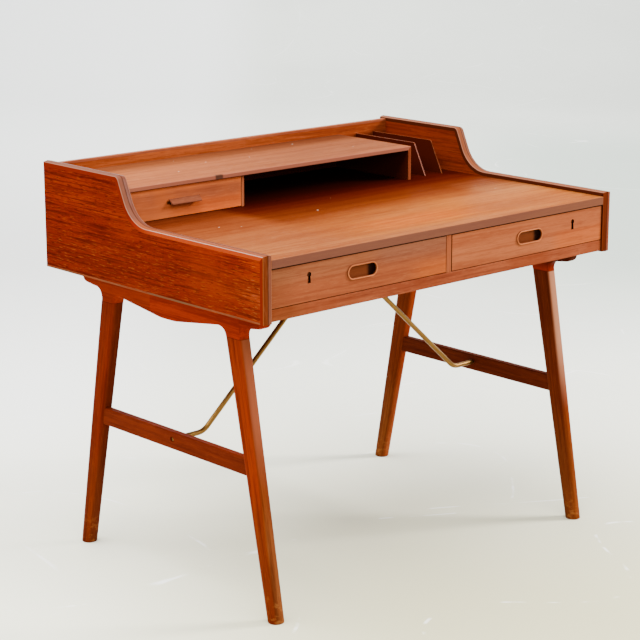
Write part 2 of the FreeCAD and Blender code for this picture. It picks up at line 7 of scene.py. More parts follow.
# %% A teak writing desk
import math
import bpy
import bmesh
import numpy as np
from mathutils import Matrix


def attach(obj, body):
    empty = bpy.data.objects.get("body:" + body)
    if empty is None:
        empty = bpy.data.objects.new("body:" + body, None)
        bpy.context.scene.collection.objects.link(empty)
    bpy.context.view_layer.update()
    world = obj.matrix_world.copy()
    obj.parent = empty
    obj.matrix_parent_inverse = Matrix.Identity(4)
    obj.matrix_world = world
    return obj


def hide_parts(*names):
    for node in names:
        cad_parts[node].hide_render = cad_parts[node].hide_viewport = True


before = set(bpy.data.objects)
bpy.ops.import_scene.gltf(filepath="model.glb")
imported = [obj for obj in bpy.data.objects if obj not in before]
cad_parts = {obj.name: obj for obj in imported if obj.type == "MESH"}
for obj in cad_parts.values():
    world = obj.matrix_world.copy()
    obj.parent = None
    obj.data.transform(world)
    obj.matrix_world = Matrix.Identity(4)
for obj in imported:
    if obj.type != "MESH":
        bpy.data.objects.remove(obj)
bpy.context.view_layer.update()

mm = 0.001

# %% [markdown]
# The photograph was taken from the left front, a little above the desk and from about four metres
# away. A long lens keeps the upright edges nearly parallel. The direction is given as two angles, a
# turn about the vertical and a tilt below the horizon, which are easier to adjust than a matrix.

# %% Camera
camera_place = (-2.8092, -3.0249, 1.5118)
camera_turn, camera_tilt = 42.49, -14.07
lens_length, sensor_width, sight_end = 110.35, 36.0, 60.0


def put_in_scene(name, data):
    """A new object that shows its data, linked to the scene."""
    thing = bpy.data.objects.new(name, data)
    bpy.context.scene.collection.objects.link(thing)
    return thing


camera_data = bpy.data.cameras.new("camera")
camera_data.lens = lens_length
camera_data.sensor_width = sensor_width
camera_data.clip_end = sight_end
camera = put_in_scene("camera", camera_data)
camera.location = camera_place
camera.rotation_euler = (math.radians(90.0 + camera_tilt), 0.0, math.radians(-camera_turn))
bpy.context.scene.camera = camera
print("camera", camera_place, "lens", lens_length)

# %% [markdown]
# A surface worked out with numpy is a grid of points. Four neighbours make one face, so the faces
# follow from the grid's size alone. The same few helpers serve every piece below: one gives the
# faces of a grid, and one makes a closed mesh of them, cuts it where a real joint cuts the piece, and
# turns its faces outward.


# %% Helpers for surfaces
sharp_angle = math.radians(40.0)


def grid_faces(rows, columns, closed_columns=False):
    """The four corners of each face between neighbouring rows and columns of a grid."""
    last = columns if closed_columns else columns - 1
    r, c = np.meshgrid(np.arange(rows - 1), np.arange(last), indexing="ij")
    below, right = r + 1, (c + 1) % columns
    corners = [r * columns + c, r * columns + right, below * columns + right, below * columns + c]
    return np.stack(corners, axis=-1).reshape(-1, 4)


def as_points(x, y, z):
    """Points from three arrays or numbers, which are spread to one shape first."""
    return np.stack(np.broadcast_arrays(x, y, z), axis=-1)


def close_shape(shape):
    """Merges points that coincide, fills the open ends of a shape and turns the faces outward."""
    bmesh.ops.remove_doubles(shape, verts=shape.verts, dist=1e-6)
    bmesh.ops.holes_fill(shape, edges=[edge for edge in shape.edges if edge.is_boundary], sides=0)
    bmesh.ops.recalc_face_normals(shape, faces=shape.faces)


def smooth_faces(mesh):
    """Smooth shading on all faces."""
    mesh.polygons.foreach_set("use_smooth", np.ones(len(mesh.polygons), dtype=bool))


def new_mesh(name, points, faces, grain=None, cuts=()):
    """A closed mesh of points in mm, cut by planes, each (point, direction of the waste)."""
    mesh = bpy.data.meshes.new(name)
    mesh.from_pydata((points.reshape(-1, 3) * mm).tolist(), [], faces.tolist())
    if grain is not None:
        layer = mesh.attributes.new("grain", "FLOAT_VECTOR", "POINT")
        layer.data.foreach_set("vector", (grain * mm).ravel())
    shape = bmesh.new()
    shape.from_mesh(mesh)
    close_shape(shape)
    for place, direction in cuts:
        everything = shape.verts[:] + shape.edges[:] + shape.faces[:]
        bmesh.ops.bisect_plane(shape, geom=everything, plane_co=np.array(place) * mm,
                               plane_no=direction, clear_outer=True)
    if cuts:
        close_shape(shape)
    shape.to_mesh(mesh)
    shape.free()
    smooth_faces(mesh)
    mesh.set_sharp_from_angle(angle=sharp_angle)
    return mesh


def add_piece(mesh, material, body, nodes):
    """Puts a finished mesh in the scene, on a body, in place of nodes of the construction."""
    mesh.materials.append(material)
    piece = put_in_scene(mesh.name, mesh)
    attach(piece, body)
    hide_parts(*nodes)
    print(piece.name, len(mesh.polygons), "faces on", body)


print("3 rows and 4 columns of points make", len(grid_faces(3, 4)), "faces")

# %% [markdown]
# The studio is one pale sheet: a floor that sweeps up behind the desk into a wall, as a photographer
# hangs paper. A plane would do for the floor alone, but then the horizon would show in the views from
# the side. The sheet is a profile, floor, quarter circle and wall, carried sideways.

# %% Floor and backdrop
floor_start, floor_reach = -9.0, 7.0
sweep_radius, wall_top = 3.0, 9.0
sheet_half_width = 14.0


def studio_sheet():
    """Floor, quarter circle and wall along the view, carried straight to both sides."""
    angle = np.linspace(0.0, math.pi / 2, 25)
    sweep = floor_reach + sweep_radius * np.sin(angle)
    along = np.concatenate([[floor_start], sweep, [floor_reach + sweep_radius]])
    up = np.concatenate([[0.0], sweep_radius * (1.0 - np.cos(angle)), [wall_top]])
    side = np.linspace(-sheet_half_width, sheet_half_width, 3)
    turn = math.radians(camera_turn)
    x = along[:, None] * math.sin(turn) + side[None, :] * math.cos(turn)
    y = along[:, None] * math.cos(turn) - side[None, :] * math.sin(turn)
    return as_points(x, y, up[:, None])


sheet_points = studio_sheet()
sheet_mesh = bpy.data.meshes.new("studio_sheet")
sheet_mesh.from_pydata(sheet_points.reshape(-1, 3).tolist(), [],
                       grid_faces(*sheet_points.shape[:2]).tolist())
smooth_faces(sheet_mesh)
put_in_scene("studio_sheet", sheet_mesh)
print("studio sheet", len(sheet_mesh.polygons), "faces")

# %% [markdown]
# A finish is a small network of nodes. One helper adds a node with its settings and gives each of its
# inputs a number, a colour or the result of another node. Colours are given as the amount of light
# that comes back, red, green and blue, because that is what the renderer mixes.


# %% Nodes
def add_node(tree, kind, inputs, **settings):
    """A node with its settings; an input takes a number, a colour or another node's result."""
    node = tree.nodes.new("ShaderNode" + kind)
    for title, value in settings.items():
        setattr(node, title, value)
    for title, value in inputs.items():
        socket = node.inputs[title]
        if isinstance(value, bpy.types.NodeSocket):
            tree.links.new(value, socket)
        else:
            socket.default_value = (*value, 1.0) if socket.type == "RGBA" else value
    return node


def new_material(name):
    """A material with an empty Principled shader, and the Object coordinates of its piece."""
    material = bpy.data.materials.new(name)
    material.use_nodes = True
    tree = material.node_tree
    tree.nodes.clear()
    shader = add_node(tree, "BsdfPrincipled", {})
    add_node(tree, "OutputMaterial", {"Surface": shader.outputs["BSDF"]})
    return material, tree, shader, add_node(tree, "TexCoord", {}).outputs["Object"]


def new_group(name, inputs, outputs):
    """An empty node group with its sockets; hands back the group, its inputs and its outputs."""
    group = bpy.data.node_groups.new(name, "ShaderNodeTree")
    for direction, sockets in (("INPUT", inputs), ("OUTPUT", outputs)):
        for title, kind in sockets.items():
            group.interface.new_socket(title, in_out=direction, socket_type=f"NodeSocket{kind}")
    return group, group.nodes.new("NodeGroupInput").outputs, group.nodes.new("NodeGroupOutput").inputs


print("helpers for nodes, materials and groups are ready")

# %% [markdown]
# The helpers below each add one node and hand back its result, so that a network reads like a sum: a
# noise, a ramp, a product, a mixture. A ramp that rises smoothly from 0 to 1 is the most useful one. It
# turns a place or a noise into a mask, and a mask says where one colour gives way to another.


# %% Sums of nodes
def noise(tree, vector, scale, detail=2.0, roughness=0.5, distortion=0.0):
    """A noise pattern on a vector."""
    return add_node(tree, "TexNoise", {"Vector": vector, "Scale": scale, "Detail": detail,
                                       "Roughness": roughness, "Distortion": distortion}).outputs["Fac"]


def stretch(tree, vector, x, y, z):
    """The vector scaled by its own factor along each axis."""
    return add_node(tree, "VectorMath", {0: vector, 1: (x, y, z)}, operation="MULTIPLY").outputs[0]


def along_axis(tree, vector, axis):
    """One of the three numbers of a vector."""
    return add_node(tree, "SeparateXYZ", {"Vector": vector}).outputs[axis]


def ramp(tree, value, low, high):
    """0 where the value is at low, 1 where it is at high, and an S-shaped rise between."""
    inputs = {"Value": value, "From Min": low, "From Max": high}
    return add_node(tree, "MapRange", inputs, interpolation_type="SMOOTHSTEP").outputs["Result"]


def calculate(tree, operation, first, second):
    """One sum on two values."""
    return add_node(tree, "Math", {0: first, 1: second}, operation=operation).outputs["Value"]


def times(tree, result, *factors):
    """The product of several values."""
    for factor in factors:
        result = calculate(tree, "MULTIPLY", result, factor)
    return result


def off_middle(tree, value, middle):
    """How far a value lies from a middle, on either side."""
    return calculate(tree, "ABSOLUTE", calculate(tree, "SUBTRACT", value, middle), 0.0)


def blend(tree, share, first, second, way="MIX"):
    """Two colours mixed or multiplied by a share: inputs 0, 6, 7 and output 2 of the Mix node."""
    inputs = {0: share, 6: first, 7: second}
    return add_node(tree, "Mix", inputs, data_type="RGBA", blend_type=way).outputs[2]


print("helpers for patterns and sums are ready")

# %% [markdown]
# Dust and small chips show as pale specks on the desk's level surfaces and on the floor. A Voronoi
# pattern scatters one point in each of its cells. A speck is drawn round the point of only some
# cells, chosen by the random colour that every cell carries, so the specks don't look counted out.


# %% Specks of dust
def speck_group():
    """Sparse small specks: 1 on a speck, 0 elsewhere."""
    group, start, end = new_group("Specks", {"Vector": "Vector", "Size": "Float"}, {"Mask": "Float"})
    cells = add_node(group, "TexVoronoi", {"Vector": start["Vector"], "Scale": 1.0}).outputs
    near = calculate(group, "LESS_THAN", cells["Distance"], start["Size"])
    chosen = ramp(group, along_axis(group, cells["Color"], "X"), 0.7, 0.74)
    group.links.new(times(group, near, chosen), end["Mask"])
    return group


specks = speck_group()


def speck_mask(tree, place, per_metre, size):
    """Where specks of dust lie, with so many cells to a metre and so large a speck in its cell."""
    inputs = {"Vector": stretch(tree, place, per_metre, per_metre, per_metre), "Size": size}
    return add_node(tree, "Group", inputs, node_tree=specks).outputs["Mask"]


print("speck group", len(specks.nodes), "nodes")

# %% [markdown]
# The paper of the studio is nearly white, but not evenly so. A broad cloudiness keeps it from looking
# like an empty page. Towards the viewer it falls off into a warmer grey with painted shade in front of
# the desk, painted light makes it brightest at the left, painted shade darkens it at the right behind
# the desk, and a few pale scuffs lie on the floor. The pattern is turned with the view, so that one
# axis runs into the depth and the other to the side.

# %% The studio's paper
cloud_dark, cloud_light = (0.76, 0.78, 0.72), (0.82, 0.84, 0.78)
# Painted light and shade on the paper: each tone, and the ramps where it lies.
paper_light_and_shade = [((0.82, 0.82, 0.68), [("Y", 1.9, 0.0)]),
               ((0.56, 0.53, 0.33), [("Y", 0.75, -0.6), ("X", -0.8, 0.25), ("Y", -3.0, -1.4)]),
               ((0.96, 0.97, 0.95), [("X", -0.25, -0.8), ("Y", -0.4, 1.5)]),
               ((0.6, 0.67, 0.6), [("X", 0.3, 1.1), ("Y", 1.3, 3.0), ("Y", 6.5, 5.0)])]
scuff_white = (0.95, 0.95, 0.92)
scuff_scales_and_widths = ((0.8, 0.0022), (1.7, 0.0045))
fluff_per_metre, fluff_size = 5.0, 0.014
paper_dullness, paper_index = 0.65, 1.2


def paper_material():
    """Matt pale paper with painted light and shade: each tone lies where its ramps, sideways (X) and into
    the depth (Y), are 1.
    """
    material, tree, shader, place = new_material("studio_paper")
    cloud = ramp(tree, noise(tree, place, 0.9, 3.0), 0.3, 0.7)
    colour = blend(tree, cloud, cloud_dark, cloud_light)
    turned = add_node(tree, "Mapping", {"Vector": place,
                                        "Rotation": (0.0, 0.0, math.radians(camera_turn))})
    for tone, rises in paper_light_and_shade:
        ramps = [ramp(tree, along_axis(tree, turned.outputs["Vector"], axis), start, end)
                 for axis, start, end in rises]
        colour = blend(tree, times(tree, *ramps), colour, tone)
    for scale, width in scuff_scales_and_widths:
        arc = off_middle(tree, noise(tree, place, scale, 0.0), 0.5)
        broken = ramp(tree, noise(tree, place, 3.1 * scale, 3.0, 0.7), 0.52, 0.6)
        scratch = times(tree, ramp(tree, arc, width, width / 4), broken, 0.8)
        colour = blend(tree, scratch, colour, scuff_white)
    fluff = speck_mask(tree, place, fluff_per_metre, fluff_size)
    colour = blend(tree, fluff, colour, scuff_white)
    tree.links.new(colour, shader.inputs["Base Color"])
    shader.inputs["Roughness"].default_value = paper_dullness
    shader.inputs["IOR"].default_value = paper_index
    return material


sheet_mesh.materials.append(paper_material())
print("paper with", len(paper_light_and_shade), "tones")

# %% [markdown]
# The light comes from a large box high up and from a second one at the right, a little in front. The
# left side of the desk gets only what the room and the floor throw back, which is why it looks deep
# and red beside the pale drawer fronts. A weak box in front opens the shadows, and a last one lights
# the paper behind the desk and nothing else.

# %% Lights
room_light, room_colour = 0.85, (0.95, 0.98, 1.0, 1.0)
world = bpy.data.worlds.new("studio")
world.use_nodes = True
world.node_tree.nodes["Background"].inputs["Color"].default_value = room_colour
world.node_tree.nodes["Background"].inputs["Strength"].default_value = room_light
bpy.context.scene.world = world


def softbox(name, place, target, width, height, power, colour):
    """A rectangular light at a place, turned to face a target."""
    data = bpy.data.lights.new(name, "AREA")
    data.shape = "RECTANGLE"
    data.size = width
    data.size_y = height
    data.energy = power
    data.color = colour
    lamp = put_in_scene(name, data)
    lamp.location = place
    away = np.array(place) - np.array(target)
    turn = math.atan2(away[0], -away[1])
    tilt = math.atan2(math.hypot(away[0], away[1]), away[2])
    lamp.rotation_euler = (tilt, 0.0, turn)


softbox("overhead", (-1.2, 0.1, 3.6), (-0.6, 0.0, 0.0), 4.2, 3.6, 520.0, (1.0, 0.99, 0.96))
softbox("right", (4.0, -2.4, 2.8), (0.0, 0.0, 0.6), 1.3, 1.3, 600.0, (1.0, 0.98, 0.95))
softbox("front", (-2.2, -5.0, 2.6), (0.0, 0.0, 0.5), 2.6, 2.0, 90.0, (1.0, 0.98, 0.96))
softbox("backdrop", (2.6, 3.0, 4.6), (7.5, 8.2, 2.6), 4.0, 2.0, 700.0, (0.97, 0.99, 1.0))
print("lights", [light.name for light in bpy.data.lights])

# %% [markdown]
# Teak has a straight grain. Along it everything is drawn out: broad changes of tone, the bands of
# the growth rings, short dark streaks, and pores so fine that they show as dashes. Each is the same
# noise, stretched more and more across the grain. The group below mixes them once for all the wood,
# and each piece gives it its own colours and its own place in the log.


# %% Teak
def teak_group():
    """Teak with its grain along X: tones, growth bands, streaks, pores and pale flecks."""
    inputs = {"Vector": "Vector"}
    inputs.update(dict.fromkeys(("Pale", "Middle", "Deep", "Line", "Fleck"), "Color"))
    inputs.update(dict.fromkeys(("Bands", "Streaks", "Pores", "Flecks", "Dullness"), "Float"))
    outputs = {"Color": "Color", "Roughness": "Float", "Height": "Float"}
    group, start, end = new_group("Teak", inputs, outputs)

    def grain(along, across, *settings):
        vector = stretch(group, start["Vector"], along, across, across)
        return noise(group, vector, 1.0, *settings)

    broad = ramp(group, grain(1.5, 10.0, 2.0, 0.5, 0.4), 0.36, 0.64)
    pore = ramp(group, grain(46.0, 450.0, 2.0, 0.6), 0.54, 0.66)
    colour = blend(group, broad, start["Middle"], start["Pale"])
    for mask, amount, title in (
            (ramp(group, grain(2.2, 66.0, 3.0, 0.6, 0.5), 0.44, 0.62), "Bands", "Deep"),
            (ramp(group, grain(40.0, 400.0, 2.0, 0.6), 0.54, 0.66), "Flecks", "Fleck"),
            (ramp(group, grain(6.5, 215.0, 2.0, 0.6, 0.3), 0.48, 0.66), "Streaks", "Line"),
            (pore, "Pores", "Line")):
        colour = blend(group, times(group, mask, start[amount]), colour, start[title])
    group.links.new(colour, end["Color"])
    rough = calculate(group, "ADD", times(group, grain(8.0, 40.0, 3.0), 0.14), start["Dullness"])
    group.links.new(rough, end["Roughness"])
    group.links.new(times(group, pore, -1.0), end["Height"])
    return group


teak = teak_group()
print("teak group", len(teak.nodes), "nodes")

# %% [markdown]
# Use leaves marks that follow the piece and not the grain, such as a darker strip along a worn edge,
# and so do painted shade, in the gaps round a drawer and under the shelf, and painted light. Such a
# mark is a place on the piece, given along X, Y or Z in mm, and a colour, or factors that let the
# grain show through. It is written as a small function, so that a finish can carry any number of marks.

# %% Marks of use
# The colour of painted shade in the gaps between pieces and along lines under an overhang.
gap_shade_brown = (0.006, 0.002, 0.001)


def rise(tree, place, axis, start, end):
    """0 up to start and 1 from end on, in mm along an axis of the piece."""
    return ramp(tree, along_axis(tree, place, axis), start * mm, end * mm)


def paint(find_mask, colour, share=1.0):
    """A mark that turns the wood to a colour, up to a share, where find_mask gives 1."""
    def mark(tree, place, wood):
        return blend(tree, times(tree, find_mask(tree, place), share), wood, colour)
    return mark


def zone(axis, start, end, colour, share=1.0):
    """A mark that grows from nothing at start to its full share at end."""
    return paint(lambda tree, place: rise(tree, place, axis, start, end), colour, share)


def shade(limits, factors):
    """The wood's colour times three factors, where every (axis, start, end) has grown full."""
    def mark(tree, place, wood):
        mask = times(tree, 1.0, *[rise(tree, place, *limit) for limit in limits])
        return blend(tree, mask, wood, factors, "MULTIPLY")
    return mark


def tint(axis, start, end, factors):
    """A stain that grows along one axis."""
    return shade([(axis, start, end)], factors)


def stain(factors):
    """A stain on the whole piece."""
    return shade([], factors)


def both_sides(tree, place, axis, middle, start, end):
    """0 at a distance of start from a plane and 1 at a distance of end, in mm."""
    offset = off_middle(tree, along_axis(tree, place, axis), middle * mm)
    return ramp(tree, offset, start * mm, end * mm)


def away_from(axis, middle, start, end, colour, share=1.0):
    """A mark on both sides of a plane: nothing nearer than start, full from end on."""
    return paint(lambda tree, place: both_sides(tree, place, axis, middle, start, end), colour, share)


def patch(limits, soft, colour, share=1.0):
    """A mark inside limits, each (axis, low, high), with a soft border of some mm."""
    def find_mask(tree, place):
        return times(tree, *[both_sides(tree, place, axis, (low + high) / 2, (high - low) / 2,
                                        (high - low) / 2 - soft) for axis, low, high in limits])
    return paint(find_mask, colour, share)


def patchy(scale, low, high, colour, share=1.0):
    """Soft irregular patches, so many to a metre, in another colour."""
    return paint(lambda tree, place: ramp(tree, noise(tree, place, scale, 3.0, 0.6), low, high),
                 colour, share)


def gap_shaded_edges(name, width=1.4):
    """Painted shade along the four edges of an upright front, found from the piece's own box."""
    corners = np.array(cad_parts[name].bound_box) / mm
    marks = []
    for number, axis in ((0, "X"), (2, "Z")):
        low, high = corners[:, number].min(), corners[:, number].max()
        half = (high - low) / 2
        marks.append(away_from(axis, (low + high) / 2, half - width, half - width / 3, gap_shade_brown, 0.85))
    return marks


dust_per_metre, dust_size, dust_grey = 26.0, 0.045, (0.6, 0.5, 0.4)
dusty = paint(lambda tree, place: speck_mask(tree, place, dust_per_metre, dust_size), dust_grey, 0.8)
# gap_shade_brown is the colour of the painted shade in the gaps.
print("marks of use, such as dirt in the gaps with the colour", gap_shade_brown)

# %% [markdown]
# The desk isn't all of one tone: the outer side, the sheltered insides, the handled frames and the
# bleached top have each aged in their own way. Each kind has how much it mirrors, four colours from
# pale to dark, and one for the flecks. The wood is only lightly oiled, so it mirrors little, and the
# refractive index says how much: 1.0 mirrors nothing.


# %% Kinds of teak
def look(index, pale, middle, deep, line, fleck, **amounts):
    """A kind of teak: its refractive index, its colours, and the amounts that aren't the usual."""
    usual = {"Bands": 0.6, "Streaks": 0.4, "Pores": 0.3, "Flecks": 0.3, "Dullness": 0.3}
    colours = {"Pale": pale, "Middle": middle, "Deep": deep, "Line": line, "Fleck": fleck}
    return index, {**colours, **usual, **amounts}


wood_looks = {
    "side": look(1.03, (0.158, 0.0121, 0.0012), (0.114, 0.0055, 0.0005), (0.079, 0.0032, 0.0003),
                 (0.037, 0.0014, 0.0002), (0.25, 0.04, 0.004), Streaks=0.7, Pores=0.8, Flecks=0.35),
    "top": look(1.02, (0.146, 0.0338, 0.0083), (0.118, 0.0234, 0.0053), (0.09, 0.0143, 0.003),
                (0.068, 0.0098, 0.0023), (0.171, 0.0456, 0.0135), Streaks=0.35, Flecks=0.35,
                Dullness=0.24),
    "shelf": look(1.02, (0.162, 0.0475, 0.0175), (0.144, 0.04, 0.015), (0.108, 0.0275, 0.01),
                  (0.09, 0.0213, 0.0075), (0.204, 0.0675, 0.0275), Bands=0.7, Pores=0.35, Flecks=0.4),
    "front": look(1.03, (0.241, 0.0686, 0.0271), (0.207, 0.051, 0.019), (0.159, 0.0353, 0.013),
                  (0.115, 0.0235, 0.0098), (0.26, 0.0784, 0.0304), Streaks=0.3, Pores=0.22),
    "frame": look(1.05, (0.149, 0.0195, 0.0027), (0.105, 0.0117, 0.0017), (0.065, 0.0058, 0.001),
                  (0.031, 0.0026, 0.0006), (0.171, 0.0285, 0.0048), Streaks=0.35, Pores=0.2,
                  Flecks=0.25, Dullness=0.42),
    "edging": look(1.03, (0.208, 0.0528, 0.0182), (0.167, 0.0352, 0.0116), (0.108, 0.0194, 0.0066),
                   (0.063, 0.0106, 0.0041), (0.243, 0.0704, 0.0248)),
    "nose": look(1.06, (0.166, 0.039, 0.0125), (0.122, 0.024, 0.0075), (0.076, 0.0132, 0.004),
                 (0.043, 0.0072, 0.0025), (0.238, 0.078, 0.035), Bands=0.55, Streaks=0.45,
                 Pores=0.35, Flecks=0.45, Dullness=0.22),
    "handle": look(1.1, (0.16, 0.045, 0.02), (0.12, 0.03, 0.013), (0.085, 0.02, 0.009),
                   (0.05, 0.011, 0.005), (0.22, 0.07, 0.035)),
    "cup": look(1.05, (0.35, 0.1, 0.036), (0.31, 0.082, 0.027), (0.17, 0.04, 0.012),
                (0.11, 0.024, 0.008), (0.29, 0.09, 0.032), Bands=0.4, Streaks=0.3, Pores=0.2),
    "inner": look(1.02, (0.124, 0.0156, 0.0021), (0.093, 0.009, 0.0013), (0.062, 0.0051, 0.0007),
                  (0.034, 0.0027, 0.0004), (0.149, 0.024, 0.0035), Dullness=0.35),
}
print("kinds of teak:", sorted(wood_looks))

# %% [markdown]
# A finish for one piece joins the two: a kind of teak, and the marks. The grain is turned to run the
# long way of the piece, and shifted so that each piece comes from another place in the log. A bent
# edging carries its own coordinates, because its grain follows the bend.

# %% Finishes of the wood
grain_turns = {"x": (0, 0, 0), "along": (0, 0, 0), "y": (0, 0, -90), "z": (0, 90, 0)}
log_step = (0.37, 0.53, 0.71)
pore_depth, pore_strength = 0.0003, 0.12


def own_vector(tree):
    """A piece's own coordinates, along its grain and across it."""
    return add_node(tree, "Attribute", {}, attribute_name="grain").outputs["Vector"]


def teak_finish(kind, grain, seed, marks=()):
    """A teak finish from a kind, the way of the grain, a place in the log and a choice of marks."""
    material, tree, shader, place = new_material(f"teak_{kind}_{grain}_{seed}_{len(marks)}")
    vector = own_vector(tree) if grain == "along" else place
    turned = add_node(tree, "Mapping", {
        "Vector": vector, "Location": [step * seed for step in log_step],
        "Rotation": [math.radians(angle) for angle in grain_turns.get(grain, grain)]})
    index, inputs = wood_looks[kind]
    inputs = {"Vector": turned.outputs["Vector"], **inputs}
    wood = add_node(tree, "Group", inputs, node_tree=teak).outputs
    colour = wood["Color"]
    for mark in marks:
        colour = mark(tree, place, colour)
    bump = add_node(tree, "Bump", {"Strength": pore_strength, "Distance": pore_depth,
                                   "Height": wood["Height"]})
    tree.links.new(colour, shader.inputs["Base Color"])
    tree.links.new(wood["Roughness"], shader.inputs["Roughness"])
    tree.links.new(bump.outputs["Normal"], shader.inputs["Normal"])
    shader.inputs["IOR"].default_value = index
    return material


print("ways of the grain:", list(grain_turns))

# %% [markdown]
# The stays are brass that has aged for decades: a warm metal, brown where it was never touched and
# clearer where hands and feet rub it. The locks and the hidden screws are dull grey steel. A metal has
# no colour of its own under its shine, so both are fully metallic and only the tint varies.


# %% Metals
def metal_finish(name, clear, dull, shine):
    """A metal between a clear and a dull tint, with its roughness following the dullness."""
    material, tree, shader, place = new_material(name)
    dullness = ramp(tree, noise(tree, place, 9.0, 3.0, 0.5), 0.3, 0.75)
    tree.links.new(blend(tree, dullness, clear, dull), shader.inputs["Base Color"])
    rough = calculate(tree, "ADD", times(tree, dullness, 0.22), shine)
    tree.links.new(rough, shader.inputs["Roughness"])
    shader.inputs["Metallic"].default_value = 1.0
    return material


brass = metal_finish("aged_brass", (0.235, 0.12, 0.03), (0.165, 0.078, 0.018), 0.3)
steel = metal_finish("dull_steel", (0.075, 0.07, 0.065), (0.035, 0.031, 0.028), 0.45)
print("metals", brass.name, steel.name)

# %% [markdown]
# Now the pieces of the construction, first the level ones. The writing surface is paler at the front,
# in part bleached and in part painted light, painted light also brightens it towards the right, its
# middle is lighter, and painted shade darkens it under the shelf.
# Painting that by hand would tie it to one mesh, so each mark is a soft-edged box, found on the
# photograph.

# %% Marks on the level surfaces
# Paler towards the front, in part bleached and in part painted light, and painted light towards the right.
bleached_and_lit = [tint("Y", 20, -230, (1.45, 1.95, 2.2)), tint("X", -60, 470, (1.3, 1.3, 0.9))]
desktop_marks = bleached_and_lit + [
    # Painted shade of the shelf over the back of the writing surface, in four tints.
    tint("Y", -100, 90, (0.5, 0.36, 0.36)),
    shade([("X", -255, -205), ("Y", -170, -40)], (0.58, 0.47, 0.5)),
    shade([("X", -255, -205), ("Y", -40, 50)], (0.82, 0.5, 0.28)),
    shade([("X", -205, -150), ("Y", 60, 84)], (0.75, 0.55, 0.4)),
    # Lighter in the middle front, more saturated across the middle, and paler at the right end.
    shade([("X", -210, -60), ("X", 220, 60), ("Y", -165, -235), ("Y", -315, -270)], (1.38, 1.25, 0.75)),
    shade([("X", -300, -180), ("X", 280, 160)], (1.05, 0.98, 0.62)),
    shade([("X", 300, 360), ("Y", -200, -130), ("Y", 40, -30)], (1.15, 1.45, 2.0)),
    # Painted shade under the shelf, then dust.
    zone("Y", 90, 140, (0.02, 0.002, 0.0005), 0.9), dusty]
# The shelf is painted lighter towards the left and along its front at the right, and painted darker at the
# back, and a line of painted shade lies at its underside; the front edge's colour and the small dark spot
# are the wood's own.
shelf_marks = [
    tint("X", 250, -400, (1.45, 1.5, 1.35)), tint("Y", 232, 302, (0.5, 0.43, 0.42)),
    shade([("Y", 135, 105), ("X", -60, 280)], (1.25, 1.25, 1.25)),
    zone("Y", 93, 90.5, (0.19, 0.058, 0.034), 0.85), zone("Z", 804.6, 803.6, gap_shade_brown, 0.85),
    patch([("X", -252, -228), ("Y", 80, 99)], 4, (0.035, 0.015, 0.009), 0.85), dusty]
# The front edging shares the paler front and right of the writing surface, and painted shade runs along its
# lower edge.
edging_marks = bleached_and_lit + [zone("Y", -346.4, -347.2, (0.098, 0.037, 0.026), 0.85),
                         zone("Z", 719.8, 718.8, gap_shade_brown, 0.9)]
print(len(desktop_marks), "marks on the writing surface,", len(shelf_marks), "on the shelf")

# %% [markdown]
# The upright pieces come next. Round each drawer runs a thin dark gap, where no light gets in. The gap
# is real in the construction, and the shade on both of its edges is painted, as a mark. The front edges
# of the shelf's partition and of the two letter dividers keep the wood's colour, and painted shade
# darkens only their faces.

# %% Marks on the upright pieces
# Painted shade on the faces of the letter dividers.
divider_face_shade = (0.034, 0.0034, 0.001)
# Painted shade on the faces of a drawer front inside its gap.
front_gap = patch([("Y", -343.9, -338.5)], 0.6, gap_shade_brown)
# On the left front the tints paint light and shade: darker along the top and at the outer end, lighter low
# towards the middle.
left_front_marks = [
    tint("Z", 665, 705, (0.84, 0.93, 1.0)), tint("X", -395, -470, (0.84, 0.87, 0.85)),
    shade([("X", -240, -170), ("Z", 672, 700)], (0.9, 0.98, 1.2)),
    shade([("X", -130, -60), ("Z", 685, 655)], (1.3, 1.17, 0.75)), front_gap]
# The right front is lighter all over and more saturated low at its outer end.
right_front_marks = [
    stain((1.1, 1.1, 1.08)), shade([("X", 300, 350), ("Z", 690, 665)], (1.15, 0.97, 0.7)), front_gap]
# On the pen drawer's front the blotches are the wood's own. The tints paint light: lighter along the top,
# against the shelf's shadow, and in the lower part, and darker at the lower left corner. The patches paint
# shade: in the gap, under the handle, and the handle's shadow to its left.
pen_front_marks = [
    patchy(7.0, 0.35, 0.6, (0.3, 0.062, 0.0095), 0.5), stain((1.22, 1.2, 1.15)),
    tint("Z", 786, 797, (1.75, 1.7, 1.3)), shade([("X", -390, -260), ("Z", 776, 756)], (1.42, 1.08, 0.6)),
    shade([("X", -425, -385), ("Z", 752, 742)], (1.22, 1.18, 1.0)),
    shade([("X", -430, -465), ("Z", 765, 748)], (0.8, 0.65, 0.6)),
    patch([("Y", 99.1, 104.5)], 0.6, gap_shade_brown),
    patch([("X", -365, -287), ("Z", 763, 775)], 1, gap_shade_brown, 0.9),
    patch([("X", -374, -360), ("Z", 763, 774)], 4, gap_shade_brown, 0.9)]
# The tints paint light on the left side: lighter towards the front, and paler and greyer low down; the
# patches are the wood's own.
left_side_marks = [
    tint("Y", -250, -335, (1.35, 1.9, 2.0)), tint("Z", 714, 678, (1.06, 1.5, 3.2)),
    shade([("Y", -90, -190), ("Z", 695, 735)], (1.35, 1.3, 1.2)),
    patchy(3.2, 0.5, 0.66, (0.2, 0.021, 0.0016), 0.3)]
rail_marks = [stain((1.08, 1.1, 1.3)), tint("X", -360, -440, (0.75, 0.8, 0.65)),
              patchy(8.0, 0.45, 0.62, (0.135, 0.023, 0.006), 0.45)]
print(len(pen_front_marks), "marks on the front of the pen drawer")

# %% [markdown]
# Each piece now gets its finish by name. The grain runs the long way of the piece, as it must to be
# strong. Everything that isn't named is an inside piece and gets the plain dark teak of the insides.

